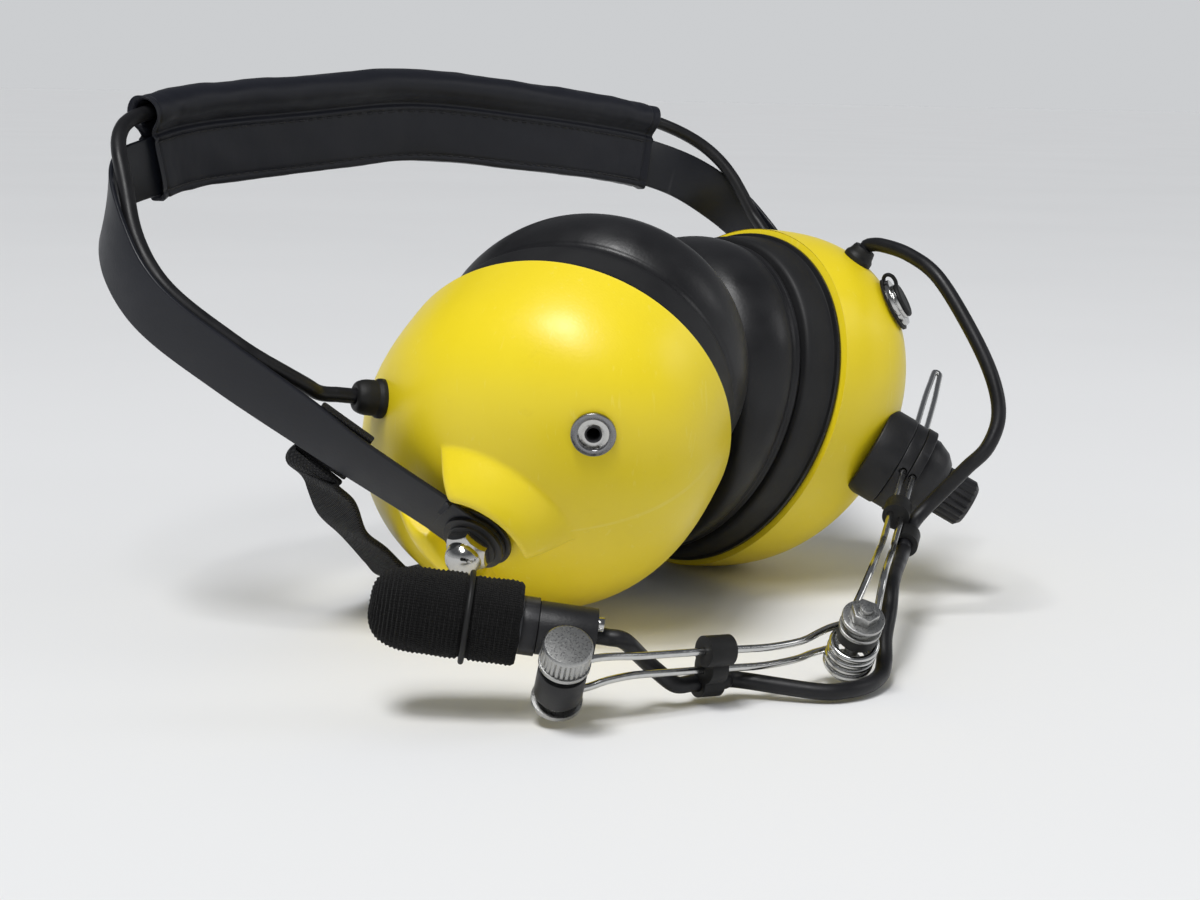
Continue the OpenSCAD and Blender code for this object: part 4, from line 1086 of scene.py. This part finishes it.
def lower_at(x, n, o):
    """Point of the lower arm: along it, up from it and off to its side."""
    climb = lower_rise * min(1, max(0, (x - LOWER_BEND) / (lower_run - 2 * LOWER_BEND)))
    return elbow + lower_in * x + lower_off * o + elbow_axis * (n + climb)


def leg(z0, z1, z2, o):
    """Points of one lower leg, from the coil to the microphone joint."""
    near = [lower_at(4, lerp(z0, z1, 0.1), o * 0.95), lower_at(8, lerp(z0, z1, 0.6), o * 0.68),
            lower_at(13.5, z1, o * 0.22)]
    far = [(lower_run - 17, z1), (lower_run - 11, lerp(z1, z2, 0.5)), (lower_run - 7, z2),
           (lower_run - 2.4, z2)]
    return near + [lower_at(x, n, 0) for x, n in [(x, z1) for x in (22, 30, 38, 46)] + far]


coil = [lower_at(-coil_r * math.sin(TURN * i / 16), COIL_TOP - coil_pitch * i / 16,
                 coil_r * math.cos(TURN * i / 16)) for i in range(16 * COIL_TURNS + 1)]
lower_line = spline(leg(COIL_TOP, LEG_UP, LOOP_TOP, coil_r)[::-1] + coil
                    + leg(COIL_TOP - coil_pitch * COIL_TURNS, -LEG_UP, LOOP_LOW, coil_r), 3)
wire = [part(*tube_rings(lower_line, WIRE_D, 16))]
wire += [eye(mic_joint + elbow_axis * z) for z in (LOOP_TOP, LOOP_LOW)]
piece("coil_wire", wire, "lower_arm", "wire", "lower_boom_wire")

# ---- Microphone head
BARREL_L = 12
mic_guess = vec(-0.683, 0.718, 0.135)
mic_dir = unit(mic_guess - elbow_axis * (mic_guess @ elbow_axis))
barrel = mic_joint + unit(np.cross(mic_dir, elbow_axis)) * 10.8 + elbow_axis * 1.6


def muff():
    """Ribbed knit cover with a groove for its ring and a bore that the capsule fills."""
    n, bore_r, crown, edge = 120, 6.1, 11, 1.2
    place = frame_at(barrel + mic_dir * (BARREL_L / 2 + 3.4), mic_dir)
    o, x, y, z = place
    r, top = MUFF_D / 2, MUFF_L - crown
    prof = [(bore_r, 0.0)] + [(lerp(bore_r, r - edge, t), 0.0) for t in np.linspace(0, 1, 6)[1:]]
    prof += [(r - edge + 1.1 * math.sin(a), 1.4 * (1 - math.cos(a)))
             for a in np.linspace(0, math.pi / 2, 9)[1:]]
    prof += [(r - 0.1 + 0.1 * step(1.4, 6, h), h) for h in np.arange(1.6, top, 0.16)]
    prof += [(r * math.cos(a) ** 0.62, top + crown * math.sin(a) ** 0.8)
             for a in np.linspace(0, math.pi / 2, 140)[:-1]]
    prof = np.array([p for p in prof if p[0] > 0.3 or p[1] < 1])
    run, ang, normal = run_of(prof), circle(n), outward(np.gradient(prof, axis=0))
    rings = []
    for (q, h), s, (nq, nh) in zip(prof, run, normal):
        rib = 0.13 * math.sin(TURN * s / 0.95) * step(2, 4, s)
        groove = -0.75 * bell(h, 11, 0.85) if q > 6 and h > 2 else 0
        row = []
        for a in ang:
            c, sn = math.cos(a), math.sin(a)
            d = (rib + groove + 0.26 * rough_at(c * 2.1, sn * 2.1, h * 0.18)
                 + 0.13 * rough_at(c * 19, sn * 19, s * 1.6) - 0.22)
            row.append(o + (x * c + y * sn) * max(q + nq * d * min(1, q / 3), 0.15)
                       + z * (h + nh * d))
        rings.append(row)
    rings = np.array(rings)
    coord = coords(run, ang * 8.5)
    bore, bore_coord = lathe_rings(place, [(0.3, 22.3), (3, 22.3), (5.6, 22.3), (6.0, 21.9),
                                           (6.08, 14), (6.08, 6), (6.08, 0.6)], n)
    tip = o + z * (MUFF_L - 0.25) + (rings[-1] - rings[-1].mean(0)) * 0.3
    cover = part(np.vstack([bore, rings, tip[None]]), np.vstack([bore_coord, coord, coord[-1:]]))
    piece("muff", [cover], "mic_head", "muff_fabric", "mic_muff")


muff()

# ---- Microphone cable
MIC_STEPS, CLIP_LOW_AT = 8, 35.4
mic_foot, mic_gland_dir = on_dome(1, MIC_GLAND_AT)
clip_up = split + arm_dir * 39 + clamp_axis * 4.8 - clamp_side * 2.8
clip_low = lower_at(CLIP_LOW_AT, -7.6, 0)
loop_route = [mic_foot + mic_gland_dir * 4.6] + route(
    (48.6, -38.4, 89.2), (47.8, -47.5, 87.3), (46.2, -57.5, 82.2), (44.8, -68.8, 69.5),
    (43.5, -76, 58.9), (41.6, -79.2, 50.4), (38, -78.7, 43.2))
bend_in = clip_up - arm_dir * 11.6 + clamp_axis * 1.4 + clamp_side * 5.0
clip_route = [lerp(loop_route[-1], bend_in, 1 / 3), lerp(loop_route[-1], bend_in, 2 / 3), bend_in,
              clip_up - arm_dir * 8.6 + clamp_axis * 0.4 + clamp_side * 1.4,
              clip_up - arm_dir * 4]
elbow_route = [clip_up + arm_dir * k for k in (0, 4, 8)] + route(
    (-9.5, -84.5, 18.5), (-16, -88.3, 13.5), (-21.5, -91, 8.5), (-25, -93.5, 4.6),
    (-30, -96, 2.6), (-37, -97.3, 2), (-43.3, -96.3, 1.9), (-48.5, -92.5, 2))
end_route = [clip_low + lower_dir * k for k in (-8, -4, 0, 4, 8)] + [
    lower_at(CLIP_LOW_AT + 11, -6.2, 2.4), lower_at(CLIP_LOW_AT + 15, -2.8, 4.2),
    barrel - mic_dir * (BARREL_L / 2 + 6) - elbow_axis * 0.4,
    barrel - mic_dir * (BARREL_L / 2 + 2.5), barrel - mic_dir * (BARREL_L / 2 - 1.5)]
mic_line = np.vstack([[mic_foot + mic_gland_dir * 3.2],
                      spline(loop_route + clip_route + elbow_route + end_route, MIC_STEPS)])
mic_a = 1 + MIC_STEPS * (len(loop_route) - 1)
mic_b = mic_a + MIC_STEPS * (len(clip_route) + 1)
mic_c = mic_b + MIC_STEPS * (len(elbow_route) + 2)
for name, first, last, node, bodies in (
        ("mic_loop", 0, mic_a, "mic_cable_loop", ("right_cup", "boom_clamp")),
        ("mic_run_upper", mic_a, mic_b, "mic_cable_upper", ("boom_clamp", "boom_arm")),
        ("mic_run_lower", mic_b, mic_c, "mic_cable_lower", ("boom_arm", "lower_arm")),
        ("mic_run_end", mic_c, len(mic_line) - 1, "mic_cable_end", ("lower_arm", "mic_mount"))):
    cable(name, mic_line, first, last, node, bodies)

# ---- Small pieces on the cups
lining = part(*lathe_rings(frame_at(*on_dome(-1, JACK_AT)), [
    (0.05, -11.5), (1.35, -11.5), (1.4, 0.75), (1.55, 1.02), (1.85, 1.08), (1.95, 1.02),
    (1.95, 0.7), (1.78, 0.5), (1.75, -12.5), (0.05, -12.5)], 48))
piece("jack_lining", [lining], "left_cup", "black_plastic", sharp=40)


def aux_cap():
    """Dust cap with the hoop and the loop of its tether, which points to the cable gland."""
    foot, out = on_dome(1, AUX_AT)
    up = unit(mic_foot - foot)
    up = unit(up - out * (up @ out))
    off = np.cross(out, up)
    place = frame_at(foot, out, up)
    plug = lathe_rings(place, softened([
        (0.05, -4), (2.9, -4), (2.93, 2.35), (4.35, 2.4), (4.55, 2.6), (4.55, 3.1), (4.3, 3.4),
        (3.6, 3.52), (2.6, 3.35), (2.2, 3.3), (0.05, 3.3)]), 56)
    loop = tube_rings(spline([foot + out * a + up * b + off * d for a, b, d in (
        (2.9, 3.9, 0.2), (3.25, 5.0, 0.3), (3.1, 6.4, 0.5), (2.4, 7.3, 0.6), (1.5, 7.5, 0.5),
        (0.8, 7.1, 0.2), (0.5, 6.5, 0.0))], 6), 1.0, 12)
    ring = hoop(place, [(6.35, -0.1), (7.0, -0.1), (7.05, 0.5), (6.4, 0.55)], 72)
    piece("aux_cap", [part(*plug), part(*loop), ring], "right_cup", "black_rubber",
          "aux_dust_cap", sharp=50)


aux_cap()

# ---- CAD nodes that stay: finishes and softened edges
SMOOTH_BELOW, BEVEL_ABOVE = 32, 35
# Bevel width in millimetres of each kind of piece, by material
FINISH = {
    "grey_plastic": {"speaker": 0, "pivot_socket": 0, "mic_capsule": 0},
    "black_plastic": {"pivot_washer": 0.18, "boom_base": 0.5, "boom_clamp_disc": 0.4,
                      "boom_clamp_cap": 0.45, "boom_knob": 0.2, "mic_joint_block": 0.35,
                      "mic_collar": 0.35},
    "black_rubber": {"cable_clip_upper": 0.35, "cable_clip_lower": 0.35,
                     "elbow_rubber_washer": 0, "muff_ring": 0},
    "bright_metal": {"pivot_stud": 0, "acorn_nut": 0.25, "audio_jack": 0.2, "aux_socket": 0.2,
                     "aux_socket_nut": 0.25, "barrel_screw": 0.25},
    "satin_metal": {"boom_bolt": 0, "elbow_screw": 0.3, "elbow_nut": 0.2, "elbow_washers": 0.18,
                    "mic_joint_screw": 0.18, "mic_thumb_nut": 0.12},
    "dark_metal": {"audio_jack_nut": 0.25},
}


def soft_shading():
    """Geometry nodes that shade a mesh smooth where its faces meet below an angle."""
    tree = bpy.data.node_groups.new("soft_shading", "GeometryNodeTree")
    for way in ("INPUT", "OUTPUT"):
        tree.interface.new_socket("Geometry", in_out=way, socket_type="NodeSocketGeometry")
    g = Graph(tree)
    face = g.node("GeometryNodeSetShadeSmooth",
                  {"Geometry": g.node("NodeGroupInput").outputs[0]})
    angle = g.node("GeometryNodeInputMeshEdgeAngle").outputs["Unsigned Angle"]
    less = g.node("FunctionNodeCompare", {0: angle, 1: deg(SMOOTH_BELOW)}, operation="LESS_THAN")
    edge = g.node("GeometryNodeSetShadeSmooth",
                  {"Geometry": face.outputs[0], "Shade Smooth": less.outputs[0]}, domain="EDGE")
    g.node("NodeGroupOutput", {0: edge.outputs[0]})
    return tree


def finish(obj, material, bevel, shading):
    obj.data.materials.clear()
    obj.data.materials.append(MATS[material])
    obj.modifiers.new("weld", "WELD").merge_threshold = 0.000002
    if bevel:
        b = obj.modifiers.new("edges", "BEVEL")
        b.width = bevel * MM
        b.segments = 3
        b.limit_method = "ANGLE"
        b.angle_limit = deg(BEVEL_ABOVE)
    obj.modifiers.new("shading", "NODES").node_group = shading


shading = soft_shading()
for name, obj in frame["nodes"].items():
    kind = name.replace("left_", "").replace("right_", "")
    if not obj.hide_render:
        material = next(m for m, kinds in FINISH.items() if kind in kinds)
        finish(obj, material, FINISH[material][kind], shading)


# ---- Floor and light
def floor():
    mesh = bpy.data.meshes.new("floor")
    far, z = 40, -0.0002
    mesh.from_pydata([(-far, -far, z), (far, -far, z), (far, far, z), (-far, far, z)], [],
                     [(0, 1, 2, 3)])
    k = Look("floor", 0.85, spec=0.2)
    k.colour(k.patchy(3, 3, (0.80, 0.80, 0.80), (0.82, 0.82, 0.82)))
    mesh.materials.append(k.m)
    placed("floor", mesh)


def light(name, kind, aim, power, place=(0, 0, 0), **values):
    data = bpy.data.lights.new(name, kind)
    data.energy = power
    for key, v in values.items():
        setattr(data, key, v)
    obj = placed(name, data)
    obj.location = place
    obj.rotation_mode = "QUATERNION"
    obj.rotation_quaternion = Vector(aim).to_track_quat("-Z", "Y")


def world():
    """Even fill, and a backdrop that darkens upwards for camera, glossy and transmission rays."""
    scene.world = bpy.data.worlds.new("world")
    scene.world.use_nodes = True
    g = Graph(scene.world.node_tree)
    at = g.node("ShaderNodeTexCoord").outputs["Generated"]
    height = g.node("ShaderNodeSeparateXYZ", {0: at}).outputs["Z"]
    sky = g.ramp(height, [(0.05, (0.603, 0.615, 0.630)), (0.42, (0.12, 0.125, 0.135))])
    fill = g.node("ShaderNodeBackground", {0: (0.90, 0.94, 1.0, 1), 1: 0.30})
    seen = g.node("ShaderNodeBackground", {0: sky, 1: 1.0})
    ray = g.node("ShaderNodeLightPath").outputs
    clear = g.math("MAXIMUM", g.math("MAXIMUM", ray["Is Camera Ray"], ray["Is Glossy Ray"]),
                   ray["Is Transmission Ray"])
    shade = g.node("ShaderNodeMixShader", {0: clear, 1: fill.outputs[0], 2: seen.outputs[0]})
    g.node("ShaderNodeOutputWorld", {0: shade.outputs[0]})


floor()
light("overhead", "SUN", (0.45, 0.10, -1.0), 1.75, angle=deg(18))
for name, place, power in (("key", (-0.75, -0.45, 1.1), 5.0), ("side", (0.7, -0.8, 0.6), 1.2)):
    light(name, "AREA", Vector((0, 0, 0.05)) - Vector(place), power, place,
          shape="RECTANGLE", size=0.4, size_y=0.4)
world()
scene.view_settings.view_transform = "Standard"
